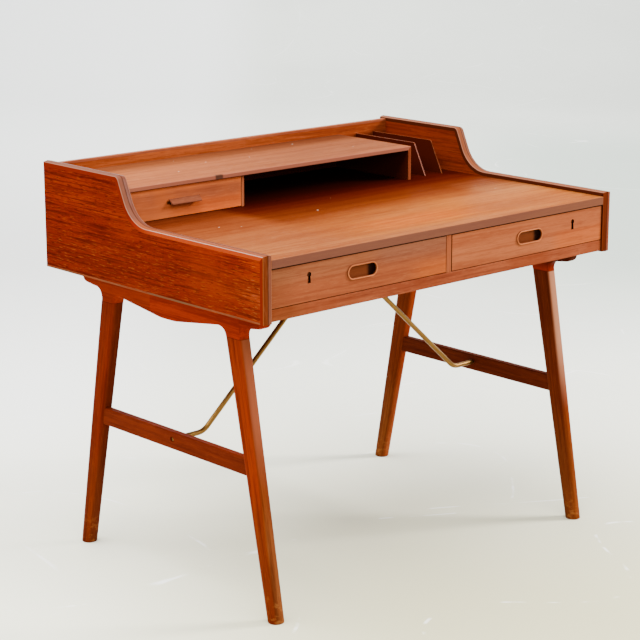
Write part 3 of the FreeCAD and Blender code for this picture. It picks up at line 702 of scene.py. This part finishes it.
# %% Finishes of the construction's pieces
node_looks = {
    "left_side_panel": ("side", "y", left_side_marks),
    "right_side_panel": ("inner", "y", [stain((1.25, 1.4, 1.6)), tint("Y", -50, 230, (1.1, 0.9, 0.7))]),
    "desktop_panel": ("top", "x", desktop_marks),
    "upper_shelf": ("shelf", "x", shelf_marks),
    "desktop_front_edging": ("top", "x", edging_marks),
    "front_bottom_rail": ("edging", "x", rail_marks),
    "back_top_edging": ("edging", "x", [stain((1.25, 1.4, 1.7))]),
    # Painted shade darkens the back panel below the shelf.
    "back_panel": ("inner", "x", [stain((1.9, 3.0, 4.8)),
                                  zone("Z", 812, 795, (0.03, 0.0035, 0.0008), 0.85)]),
    "centre_partition": ("front", "z", []),
    "left_drawer_front": ("front", "x", left_front_marks + gap_shaded_edges("left_drawer_front")),
    "right_drawer_front": ("front", "x", right_front_marks + gap_shaded_edges("right_drawer_front")),
    "pen_drawer_front": ("front", "x", pen_front_marks + gap_shaded_edges("pen_drawer_front")),
    "drawer_upright": ("front", "z", [stain((1.25, 1.25, 1.2))]),
    # Painted shade on the faces of the shelf's partition and of the letter dividers.
    "shelf_partition": ("edging", "z", [away_from("X", 320.5, 4.2, 4.45, (0.05, 0.006, 0.001))]),
    "inner_letter_divider": ("nose", "y", [away_from("X", 381.9, 1.5, 1.68, divider_face_shade)]),
    "outer_letter_divider": ("nose", "y", [away_from("X", 436.5, 1.5, 1.68, divider_face_shade)]),
}
drab = patchy(14.0, 0.35, 0.65, (0.09, 0.045, 0.022), 0.8)
for side, factors in (("left", (0.97, 0.92, 1.05)), ("right", (0.8, 0.9, 1.1))):
    node_looks[f"{side}_bottom_edging"] = ("edging", "y", [drab])
    node_looks[f"{side}_stretcher"] = ("frame", "y", [stain(factors), tint("Y", 40, 190, (0.8, 0.75, 0.8))])
for number, name in enumerate(sorted(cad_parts)):
    if "brass_rod" in name or name == "rod_screws":
        material = brass
    elif "lock" in name or name == "frame_screws":
        material = steel
    else:
        kind, grain, marks = node_looks.get(name, ("inner", "x", []))
        material = teak_finish(kind, grain, number, marks)
    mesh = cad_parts[name].data
    mesh.materials.clear()
    mesh.materials.append(material)
print(len(node_looks), "pieces with marks or a kind of their own, of", len(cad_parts))

# %% [markdown]
# A maker's line is straight runs joined by arcs. The helper below takes the corners of such a line
# with a radius each, and cuts every corner with an arc that touches both of its sides. Profiles,
# paths and outlines all come from it.


# %% Lines with rounded corners
def rounded_line(corners, steps=8, closed=False):
    """A line through corners (a, b, radius): each corner becomes an arc that touches both sides."""
    corners = np.array(corners, dtype=float)
    places, radii, count = corners[:, :2], corners[:, 2], len(corners)
    share = np.linspace(0.0, 1.0, steps + 1)[:, None]
    parts = []
    for i, (here, radius) in enumerate(zip(places, radii)):
        if radius <= 0 or not closed and i in (0, count - 1):
            parts.append(here[None, :])
            continue
        back, ahead = places[i - 1] - here, places[(i + 1) % count] - here
        back, ahead = back / np.linalg.norm(back), ahead / np.linalg.norm(ahead)
        half = math.acos(float(np.clip(back @ ahead, -1.0, 1.0))) / 2
        middle = back + ahead
        centre = here + middle / np.linalg.norm(middle) * radius / math.sin(half)
        start = here + back * radius / math.tan(half) - centre
        end = here + ahead * radius / math.tan(half) - centre
        sweep = math.pi - 2 * half
        arc = (start * np.sin((1 - share) * sweep) + end * np.sin(share * sweep)) / math.sin(sweep)
        parts.append(centre + arc)
    return np.concatenate(parts)


def run_lengths(line):
    """How far each point of a line lies from its start, along the line."""
    steps = np.linalg.norm(np.diff(line, axis=0), axis=1)
    return np.concatenate([[0.0], np.cumsum(steps)])


def filled_line(line, longest, closed=False):
    """The same line with points added on its straight runs, none further apart than a length."""
    ends = np.concatenate([line, line[:1]]) if closed else line
    runs = np.diff(ends, axis=0)
    counts = np.maximum(1, np.ceil(np.linalg.norm(runs, axis=1) / longest)).astype(int)
    owner = np.repeat(np.arange(len(runs)), counts)
    step = np.arange(len(owner)) - (np.cumsum(counts) - counts)[owner]
    filled = ends[owner] + runs[owner] * (step / counts[owner])[:, None]
    return filled if closed else np.concatenate([filled, ends[-1:]])


def ring_mesh(name, points, grain=None, cuts=()):
    """A mesh from a grid whose rows are closed rings."""
    return new_mesh(name, points, grid_faces(*points.shape[:2], closed_columns=True), grain, cuts)


print("an arc of 4 steps:", rounded_line([(0, 0, 0), (10, 0, 5), (10, 10, 0)], 4).round(2).tolist())

# %% [markdown]
# The edges of the two side boards carry solid edgings with a blunt nose: two slopes that meet in a
# ridge along the middle. Seen from the front they give the desk its fine bright lines. The nose is
# one profile. Its path is the side's outline, drawn in a little for each point of the profile, so the
# edging keeps its shape round the hollow and over the crown, and both edgings meet in a mitre.

# %% Edgings of the sides
half_width, side_thickness = 500.0, 22.0
front_y, back_y = -350.0, 350.0
side_bottom, front_top, side_top = 614.5, 747.0, 840.0
gallery_depth, slope = 297.0, math.radians(24.2)
hollow_radius, crown_radius = 75.0, 14.0
nose_depth, edging_inset = 2.4, 11.0
nose = rounded_line([(0, edging_inset, 0), (0, nose_depth, 1.0), (side_thickness / 2, 0, 1.5),
                     (side_thickness, nose_depth, 1.0), (side_thickness, edging_inset, 0)], steps=4)
nose_run = run_lengths(nose)


def side_top_line(inset):
    """The side's top line drawn in by an inset: level, hollow, slope, crown, and level to the back."""
    foot_y = back_y - gallery_depth + inset / math.cos(slope)
    step, crown = front_top - inset, side_top - inset
    return rounded_line([(front_y + inset, step, 0.0),
                         (foot_y + (step - front_top) * math.tan(slope), step, hollow_radius + inset),
                         (foot_y + (crown - front_top) * math.tan(slope), crown, crown_radius - inset),
                         (back_y, crown, 0.0)], steps=14)


def side_front_line(inset):
    """The side's front line drawn in by an inset, from the bottom up to the mitre."""
    return np.array([(front_y + inset, side_bottom), (front_y + inset, front_top - inset)])


def edging(name, line, sign):
    """The nose carried along a line of the side, for the left (-1) or the right (1)."""
    lines = np.stack([line(inset) for inset in nose[:, 1]], axis=1)
    points = as_points(sign * (half_width - side_thickness + nose[:, 0]), lines[..., 0], lines[..., 1])
    along = run_lengths(lines[:, len(nose) // 2])
    return ring_mesh(name, points, as_points(along[:, None], nose_run, 0.0))


print("the nose is", round(float(nose_run[-1]), 1), "mm of line")

# %% [markdown]
# A nosed edging shows two tones on its slopes, painted light on one and painted shade on the other,
# as the lamps reach them. The ridge is dark with wear, the corners beside the flanks carry a painted
# pale highlight, and the flanks take the colour of what they adjoin: the red panel outside, painted
# shade for the gap inside.

# %% Finish of the edgings
ridge_brown = (0.035, 0.009, 0.004)
panel_red, gap_shade_red = (0.12, 0.0075, 0.0007), (0.04, 0.0065, 0.002)
highlight_pink, highlight_orange = (0.3, 0.16, 0.11), (0.3, 0.085, 0.02)
outward = {"left": -1, "right": 1}
edging_lines = {"top": (side_top_line, 0), "front": (side_front_line, 3)}
# For each edging: its painted inner and outer slope, its flank and its painted corner highlight.
slope_colours = {"left_top": ((0.08, 0.032, 0.023), (0.115, 0.046, 0.03), panel_red, highlight_pink),
                 "left_front": ((0.098, 0.035, 0.022), (0.105, 0.018, 0.003), panel_red, highlight_orange),
                 "right_top": ((0.17, 0.052, 0.023), (0.11, 0.048, 0.03), gap_shade_red, highlight_pink),
                 "right_front": ((0.08, 0.017, 0.004), (0.19, 0.05, 0.011), gap_shade_red, highlight_orange)}
# More painted light on parts of the left top edging, and painted shade on the right front one.
edging_light_and_shade = {"left_top": [shade([("X", -499.3, -499.9), ("Y", 60, -40)], (1.55, 4.0, 9.0)),
                             shade([("X", -488.5, -491), ("Z", 762, 750)], (1.4, 1.0, 0.6))],
                "right_front": [stain((0.68, 0.43, 0.35))]}


def lit_worn_nose(inner, outer, flank_colour, highlight_colour):
    """Painted light and shade for each slope, dark with wear along the ridge, a painted highlight at the
    corners, another colour on the flanks.
    """
    half_run = nose_run[-1] / 2 * mm
    corner = half_run - nose_run[3] * mm

    def mark(tree, place, wood):
        across = calculate(tree, "SUBTRACT", along_axis(tree, own_vector(tree), "Y"), half_run)
        slopes = blend(tree, ramp(tree, across, -0.2 * mm, 0.2 * mm), inner, outer)
        wood = blend(tree, 0.6, wood, slopes)
        across = calculate(tree, "ABSOLUTE", across, 0.0)
        for start, end, share, colour in ((corner - 1.8 * mm, corner - 0.8 * mm, 0.4, highlight_colour),
                                          (corner, corner + 0.8 * mm, 1.0, flank_colour),
                                          (1.9 * mm, 0.7 * mm, 0.8, ridge_brown)):
            wood = blend(tree, times(tree, ramp(tree, across, start, end), share), wood, colour)
        return wood
    return mark


for number, (side, sign) in enumerate(outward.items()):
    for part, (line, seed) in edging_lines.items():
        key = f"{side}_{part}"
        marks = [lit_worn_nose(*slope_colours[key])] + edging_light_and_shade.get(key, [])
        add_piece(edging(f"{side}_nosed_{part}", line, sign),
                  teak_finish("nose", "along", number + seed, marks),
                  "desk", [f"{key}_edging"])

# %% [markdown]
# Each leg frame is shaped by hand: crisp along the rail, and rounder and rounder towards the legs.
# A Bevel modifier has one width for all edges, so the rounding is worked out. The outline lies in the
# plane of the frame, each of its points has a rounding radius of its own, and a quarter circle of that
# radius leads from the flat face to the rim. The frame is made whole and then cut at the real joints.

# %% Outline of the leg frames
frame_middle_x, frame_thickness = 446.0, 30.0
frame_centre_y, case_bottom = -8.0, 616.5
toe_reach, toe_tip_z, toe_root_z = 288.0, 589.5, 580.0
rail_middle_z, rail_leg_z, leg_joint_z = 554.0, 578.0, 558.0
leg_top_spread, leg_top_width = 202.0, 48.0
foot_spread, foot_width = 309.5, 32.5
rail_softness, leg_softness, toe_softness, top_softness = 2.8, 10.0, 7.0, 0.3
leg_overlap, longest_step = 12.0, 12.0
bulge_radius, leg_root_radius, toe_root_radius, toe_radius = 30.0, 22.0, 20.0, 14.0
rail_end, leg_begin, leg_end, toe_begin = 150.0, 185.0, 232.0, 262.0


def between(start, end, share):
    """A straight mixture of two values, by a share of the second."""
    return start + (end - start) * share


def leg_edge(edge, z):
    """How far a leg's inner (-1) or outer (1) edge lies from the frame's middle at a height."""
    return between(leg_top_spread + edge * leg_top_width / 2, foot_spread + edge * foot_width / 2,
                   (leg_joint_z - z) / leg_joint_z)


def frame_line():
    """The closed outline: the rail's bulge, the legs' roots, the toes and the line under the case."""
    low = leg_joint_z - leg_overlap
    half = [(leg_edge(-1, rail_leg_z), rail_leg_z, leg_root_radius), (leg_edge(-1, low), low, 0.0),
            (leg_edge(1, low), low, 0.0), (leg_edge(1, toe_root_z), toe_root_z, toe_root_radius),
            (toe_reach, toe_tip_z, toe_radius), (toe_reach, case_bottom, 0.0)]
    mirrored = [(-u, z, radius) for u, z, radius in reversed(half)]
    line = rounded_line([(0.0, rail_middle_z, bulge_radius)] + half + mirrored, steps=12, closed=True)
    return filled_line(line, longest_step, closed=True)


def smooth_step(value, low, high):
    """0 below low, 1 above high, and an S-shaped rise between."""
    share = np.clip((value - low) / (high - low), 0.0, 1.0)
    return share * share * (3.0 - 2.0 * share)


def softness_along(line):
    """The rounding radius at each point: small on the rail, large on the legs, less on the toes."""
    u, z = np.abs(line[:, 0]), line[:, 1]
    radius = between(rail_softness, leg_softness, smooth_step(u, rail_end, leg_begin))
    radius += (toe_softness - leg_softness) * smooth_step(u, leg_end, toe_begin)
    return np.where(z > case_bottom - 0.5, top_softness, radius)


print("outline of a leg frame:", len(frame_line()), "points")

# %% [markdown]
# The blank is a stack of rings. The first lies on one flat face, the next ones go round the rim on a
# quarter circle each way, and the last lies on the other flat face. Cutting it at the joints gives the
# rail and both shoulders, so their curves run through the joints without a step.

# %% Upper part of the leg frames
rear_butt, quarter_steps = 56.0, 7
flat_margin = 1.06
toe_y, butt_y = frame_centre_y - leg_edge(1, toe_root_z), frame_centre_y + rear_butt
below, before, behind = (0, 0, -1), (0, -1, 0), (0, 1, 0)
under = ((0, 0, leg_joint_z), below)
# The factors stain each part, and in part paint in the light that the floor throws up under the case.
frame_parts = {"frame_rail": ((1.9, 1.0, 0.3), [((0, toe_y, 0), before), ((0, butt_y, 0), behind)]),
               "front_shoulder": ((1.8, 1.0, 0.4), [((0, toe_y, 0), behind)]),
               "rear_shoulder": ((1.7, 1.15, 0.6), [((0, butt_y, 0), before)])}
# sheltered paints the shade of the case over the top of the right frame.
sheltered = tint("Z", 552, 590, (0.24, 0.45, 1.0))


def frame_blank(sign):
    """The whole upper frame: rings from one flat face round the rim to the other flat face."""
    line = frame_line()
    radius = softness_along(line)
    ahead = np.roll(line, -1, axis=0) - np.roll(line, 1, axis=0)
    inward = np.stack([-ahead[:, 1], ahead[:, 0]], axis=-1)
    inward /= np.linalg.norm(inward, axis=1, keepdims=True)
    if (inward * (line.mean(axis=0) - line)).sum() < 0:
        inward = -inward
    angle = np.linspace(0.0, math.pi / 2, quarter_steps)
    inset = np.concatenate([[flat_margin], 1.0 - np.sin(angle)])
    drop = np.concatenate([[0.0], 1.0 - np.cos(angle)])
    inset, drop = np.concatenate([inset, inset[::-1]]), np.concatenate([drop, drop[::-1]])
    face = np.repeat([1.0, -1.0], quarter_steps + 1)
    flat = line[None] + inward[None] * (inset[:, None] * radius[None])[..., None]
    x = face[:, None] * (frame_thickness / 2 - drop[:, None] * radius[None])
    return as_points(sign * frame_middle_x + x, frame_centre_y + flat[..., 0], flat[..., 1])


seed = 5
for side, sign in outward.items():
    for part, (factors, cuts) in frame_parts.items():
        mesh = ring_mesh(f"{side}_shaped_{part}", frame_blank(sign), cuts=[under] + cuts)
        marks = [stain(factors)] + ([sheltered] if side == "right" else [])
        add_piece(mesh, teak_finish("frame", "y", seed, marks), "desk",
                  [f"{side}_{part}"])
        seed += 1

# %% [markdown]
# A leg changes its section from a rounded rectangle at the joint to a circle at the foot. Every ring
# has the same number of points, eight to each rounded corner, so one formula gives all rings: the
# sizes, the corner radius and the place are a straight mixture of those at the two ends.

# %% Shape of the legs
corner_steps, leg_rings = 8, 18
foot_soft, foot_flat = 1.4, 0.5
last_step = 0.3 * foot_soft


def leg_surface(sign, end):
    """Rounded rectangles from the joint down to the round foot, the last ones drawn in."""
    z = np.concatenate([np.linspace(leg_joint_z, foot_soft, leg_rings), [last_step, 0.0]])
    share = (leg_joint_z - z) / leg_joint_z
    drawn_in = np.concatenate([np.zeros(leg_rings), [last_step, foot_soft]])
    half_x = between(frame_thickness / 2, foot_width / 2, share) - drawn_in
    half_y = between(leg_top_width / 2, foot_width / 2, share) - drawn_in
    corner = between(leg_softness, foot_width / 2 - foot_flat, share) - drawn_in
    middle = end * between(leg_top_spread, foot_spread, share)
    quarter = np.arange(4)[:, None] * math.pi / 2 + np.linspace(0, math.pi / 2, corner_steps)[None]
    angle = quarter.ravel()
    side_x = np.repeat([1.0, -1.0, -1.0, 1.0], corner_steps)
    side_y = np.repeat([1.0, 1.0, -1.0, -1.0], corner_steps)
    x = side_x * (half_x - corner)[:, None] + corner[:, None] * np.cos(angle)
    y = side_y * (half_y - corner)[:, None] + corner[:, None] * np.sin(angle)
    x, y = sign * frame_middle_x + x, frame_centre_y + middle[:, None] + y
    return as_points(x, y, z[:, None])


print("a leg has", leg_surface(1, 1).shape[0], "rings of", leg_surface(1, 1).shape[1], "points")

# %% [markdown]
# The legs carry the most marks of use. Shoes and brooms have knocked golden scuffs into the feet, a
# thin dark line marks the joint, and the faces are painted lighter or darker as the lamps light them:
# the two front legs carry a painted sheen on the front face from the top down to the middle, the left
# ones are redder, and all are paler towards the foot.

# %% Finish of the legs
lean = (foot_spread - leg_top_spread) / leg_joint_z
leg_lean = math.degrees(math.atan(lean))
scuff_top, scuff_full = 80.0, 4.0
lit_low, lit_high, lit_near, lit_far = 230.0, 420.0, 9.0, 15.0
turn_inset, turn_width = 2.0, 6.0
scuff_gold, joint_brown = (0.26, 0.085, 0.02), (0.03, 0.003, 0.0006)
face_light_and_shade = {"left_front": ((1.22, 0.9, 0.5), (0.95, 1.3, 1.5)),
                   "right_front": ((0.8, 0.9, 1.0), (1.05, 1.2, 0.9)),
                   "left_rear": ((1.08, 0.8, 0.4), (0.72, 0.68, 0.8)),
                   "right_rear": ((1.05, 1.35, 1.4), (1.5, 1.6, 1.6))}
front_sheen = {"left_front": (0.2, 0.05, 0.022), "right_front": (0.34, 0.14, 0.08)}


def scuffs(tree, place):
    """Knocks on the lowest part of a leg."""
    low = rise(tree, place, "Z", scuff_top, scuff_full)
    knocks = noise(tree, stretch(tree, place, 1.0, 1.0, 1.8), 60.0, 3.0, 0.7)
    return times(tree, low, ramp(tree, knocks, 0.5, 0.66))


def sheen_face(start, end, colour):
    """A painted sheen on the front face of a leg, from its top down to its middle."""
    def find_mask(tree, place):
        upright = times(tree, along_axis(tree, place, "Z"), -lean)
        upright = calculate(tree, "ADD", along_axis(tree, place, "Y"), upright)
        axis_y = frame_centre_y - foot_spread
        front = ramp(tree, upright, (axis_y - lit_near) * mm, (axis_y - lit_far) * mm)
        high = rise(tree, place, "Z", lit_low, lit_high)
        return times(tree, rise(tree, place, "X", start, end), front, high)
    return paint(find_mask, colour, 0.85)


leg_marks = [zone("Z", 556.4, 557.4, joint_brown, 0.8), paint(scuffs, scuff_gold, 0.6)]
for number, (side, sign) in enumerate(outward.items()):
    inner_x = sign * frame_middle_x - frame_thickness / 2 + turn_inset
    outer_x = inner_x + turn_width
    for end, word in ((-1, "front"), (1, "rear")):
        key = f"{side}_{word}"
        inner, outer = face_light_and_shade[key]
        # Painted light and shade on the faces, and paler towards the foot.
        marks = [tint("X", outer_x, inner_x, inner), tint("Z", 280, 150, (1.0, 1.45, 2.2)),
                 tint("X", inner_x, outer_x, outer)]
        if key in front_sheen:
            marks.append(sheen_face(inner_x, outer_x, front_sheen[key]))
        finish = teak_finish("frame", (-end * leg_lean, 90.0, 0.0), 11 + 2 * number + end, marks + leg_marks)
        add_piece(ring_mesh(f"{side}_shaped_{word}_leg", leg_surface(sign, end)), finish,
                  "desk", [f"{key}_leg"])

# %% [markdown]
# The brass stays are rods bent once near the stretcher and hammered flat where they are screwed to
# the underside. A Curve object with a round bevel can't go flat, so the rod is a section carried along
# a path, and the section's width, thickness and squareness change along the way.

# %% Brass rods
rod_radius, rod_z = 5.5, 305.0
lug_half_width, lug_half_thickness = 8.0, 2.5
lug_z = case_bottom - lug_half_thickness
rod_route = [(437.0, rod_z, 0.0), (372.0, rod_z, 40.0), (26.8, lug_z, 12.0), (4.0, lug_z, 0.0)]
lug_start, lug_full, lug_squareness = 52.0, 26.0, 0.62
tip_width, section_points = 0.02, 24


def rod_surface(sign):
    """A round section that turns into a flat one over the last stretch of the path."""
    path = filled_line(rounded_line(rod_route, steps=10), longest_step)
    run = run_lengths(path)
    left = run[-1] - run
    flat = smooth_step(-left, -lug_start, -lug_full)
    tip = np.sqrt(np.clip(1.0 - np.clip(1.0 - left / lug_half_width, 0.0, 1.0) ** 2, 0.0, 1.0))
    half_y = between(rod_radius, lug_half_width, flat) * np.maximum(tip, tip_width)
    half_n = between(rod_radius, lug_half_thickness, flat)
    ahead = np.gradient(path, axis=0)
    ahead /= np.linalg.norm(ahead, axis=1, keepdims=True)
    across = np.stack([-ahead[:, 1], ahead[:, 0]], axis=-1)
    angle = np.linspace(0.0, 2 * math.pi, section_points, endpoint=False)
    power = (1.0 - lug_squareness * flat)[:, None]
    c, s = np.cos(angle)[None], np.sin(angle)[None]
    wide = np.sign(c) * np.abs(c) ** power * half_y[:, None]
    thick = np.sign(s) * np.abs(s) ** power * half_n[:, None]
    x, z = path[:, :1] + across[:, :1] * thick, path[:, 1:] + across[:, 1:] * thick
    return as_points(sign * x, frame_centre_y + wide, z)


for side, sign in outward.items():
    add_piece(ring_mesh(f"{side}_bent_rod", rod_surface(sign)), brass, "desk",
              [f"{side}_brass_rod"])

# %% [markdown]
# Two screws hold each rod. Their heads are low domes with a slot. The dome is a height above a disc:
# the rows of the grid run along the slot, and two rows lie on each of its walls, one at the dome's
# height and one at the slot's floor, so that the walls stand upright.

# %% Screws of the rods
head_radius, head_height, head_rim = 4.5, 2.4, 0.7
slot_half_width, slot_depth, slot_turn = 0.6, 1.1, math.radians(25.0)
stretcher_screw_x, lug_screw_x = 451.0, 12.0


def screw_head(place, direction, across):
    """A slotted dome on a disc, standing on a place and pointing in a direction."""
    outer = np.linspace(0.0, 1.0, 9)[:-1]
    half = slot_half_width + (head_radius - slot_half_width) * np.sin(outer * math.pi / 2)
    rows = np.concatenate([[-head_radius], -half[::-1], [-slot_half_width, slot_half_width], half,
                           [head_radius]])
    in_slot = np.zeros(len(rows), dtype=bool)
    in_slot[len(half) + 1:len(half) + 3] = True
    reach = np.sqrt(np.clip(head_radius ** 2 - rows ** 2, 0.0, None))
    share = np.sin(np.linspace(-math.pi / 2, math.pi / 2, 19))
    x = reach[:, None] * share[None]
    y = np.broadcast_to(rows[:, None], x.shape)
    level = head_rim + (head_height - head_rim) * (1.0 - (x * x + y * y) / head_radius ** 2)
    level = np.where(in_slot[:, None], level.max() - slot_depth, level)
    level = np.where(in_slot[:, None] & (np.abs(share) > 0.999)[None], head_rim, level)
    x, y = np.pad(x, ((0, 0), (1, 1)), "edge"), np.pad(y, ((0, 0), (1, 1)), "edge")
    level = np.pad(level, ((0, 0), (1, 1)))
    direction, across = np.array(direction, float), np.array(across, float)
    third = np.cross(direction, across)
    return np.array(place) + x[..., None] * across + y[..., None] * third + level[..., None] * direction


heads = []
for sign in outward.values():
    heads.append(screw_head((sign * stretcher_screw_x, frame_centre_y, rod_z), (sign, 0, 0),
                            (0, math.cos(slot_turn), math.sin(slot_turn))))
    heads.append(screw_head((sign * lug_screw_x, frame_centre_y, lug_z - lug_half_thickness),
                            (0, 0, -1), (1, 0, 0)))
rows, columns = heads[0].shape[:2]
head_faces = [grid_faces(rows, columns) + number * rows * columns for number in range(len(heads))]
add_piece(new_mesh("rod_screw_heads", np.stack(heads), np.concatenate(head_faces)), brass,
          "desk", ["rod_screws"])

# %% [markdown]
# A pull is a cup let into the drawer front, with a rim that stands a little proud. Its plan is a
# stadium: two half circles joined by straight sides. All lines parallel to a stadium share its middle
# line, so the cup is one profile, of distance from the edge and depth, carried round that line.

# %% Pulls of the large drawers
pull_half_length, pull_radius = 25.0, 15.0
pull_offset, pull_z, drawer_front_y = 242.5, 681.0, -344.0
pull_profile = [(0.0, 4.0, 0.0), (0.0, -3.0, 1.2), (3.0, -3.0, 1.2), (2.8, 11.0, 2.2), (11.5, 11.0, 0.0)]
cup_wall_shade, cup_floor_light, cup_black = (0.07, 0.014, 0.004), (0.64, 0.26, 0.33), (0.008, 0.002, 0.001)


def pull_surface(middle_x):
    """The rim's and cup's profile carried round the stadium's middle line."""
    angle = np.linspace(-math.pi / 2, math.pi / 2, 17)
    half = np.stack([np.cos(angle), np.sin(angle)], axis=-1)
    normal = np.concatenate([half, -half])
    middle = np.repeat([pull_half_length, -pull_half_length], len(angle))
    profile = rounded_line(pull_profile, steps=6)
    reach = pull_radius - profile[:, 0]
    x = middle_x + middle[None] + reach[:, None] * normal[None, :, 0]
    z = pull_z + reach[:, None] * normal[None, :, 1]
    return as_points(x, (drawer_front_y + profile[:, 1])[:, None], z)


def cup_marks(middle_x):
    """Painted shade on the cup's wall, painted light on its floor, and a painted shadow at the end turned
    from the light.
    """
    def shadowed_end(tree, place):
        return times(tree, rise(tree, place, "Y", -345, -342),
                     rise(tree, place, "X", middle_x + 13.0, middle_x + 24.0))
    return [zone("Y", -346.6, -345.6, cup_wall_shade, 0.9), zone("Y", -334, -333.2, cup_floor_light, 0.85),
            paint(shadowed_end, cup_black)]


for number, (side, sign) in enumerate(outward.items()):
    middle_x = sign * pull_offset
    add_piece(ring_mesh(f"{side}_rimmed_pull", pull_surface(middle_x)),
              teak_finish("cup", "x", 30 + number, cup_marks(middle_x)),
              f"{side}_drawer", [f"{side}_drawer_pull"])

# %% [markdown]
# The handle of the pen drawer is a small hood: a thin board that leaves the front at the top and
# slopes down to a lip, behind which the fingers go. Its section is a line with a thickness. The section
# is carried straight along the handle, and near the lip the ends are drawn in to round the two corners.

# %% Handle of the pen drawer
handle_middle_x, handle_half_length = -327.5, 39.5
pen_front_y, handle_top_z = 99.0, 775.7
handle_reach, handle_fall, handle_thickness = 12.5, 11.0, 2.0
handle_level, handle_corner = 1.5, 2.5


def handle_surface():
    """The hood's section carried along the handle, its ends drawn in near the lip."""
    lip_y, lip_z = pen_front_y - handle_reach, handle_top_z - handle_fall
    inside_y, under_z = lip_y + handle_thickness, handle_top_z - handle_thickness
    section = rounded_line([(pen_front_y + 2.0, handle_top_z, 0.0),
                            (pen_front_y - handle_level, handle_top_z, 1.0),
                            (lip_y, lip_z + 2.0, 1.0), (lip_y, lip_z, 0.6), (inside_y, lip_z, 0.6),
                            (pen_front_y - handle_level, under_z, 1.0),
                            (pen_front_y + 2.0, under_z, 0.0)], steps=4)
    out = np.clip(pen_front_y - section[:, 0] - (handle_reach - handle_corner), 0.0, handle_corner)
    drawn_in = handle_corner - np.sqrt(handle_corner ** 2 - out ** 2)
    share = np.linspace(-1.0, 1.0, 25)[:, None]
    x = handle_middle_x + share * (handle_half_length - drawn_in[None])
    return as_points(x, *section.T)


add_piece(ring_mesh("hooded_handle", handle_surface()), teak_finish("handle", "x", 40),
          "pen_drawer", ["pen_drawer_handle"])
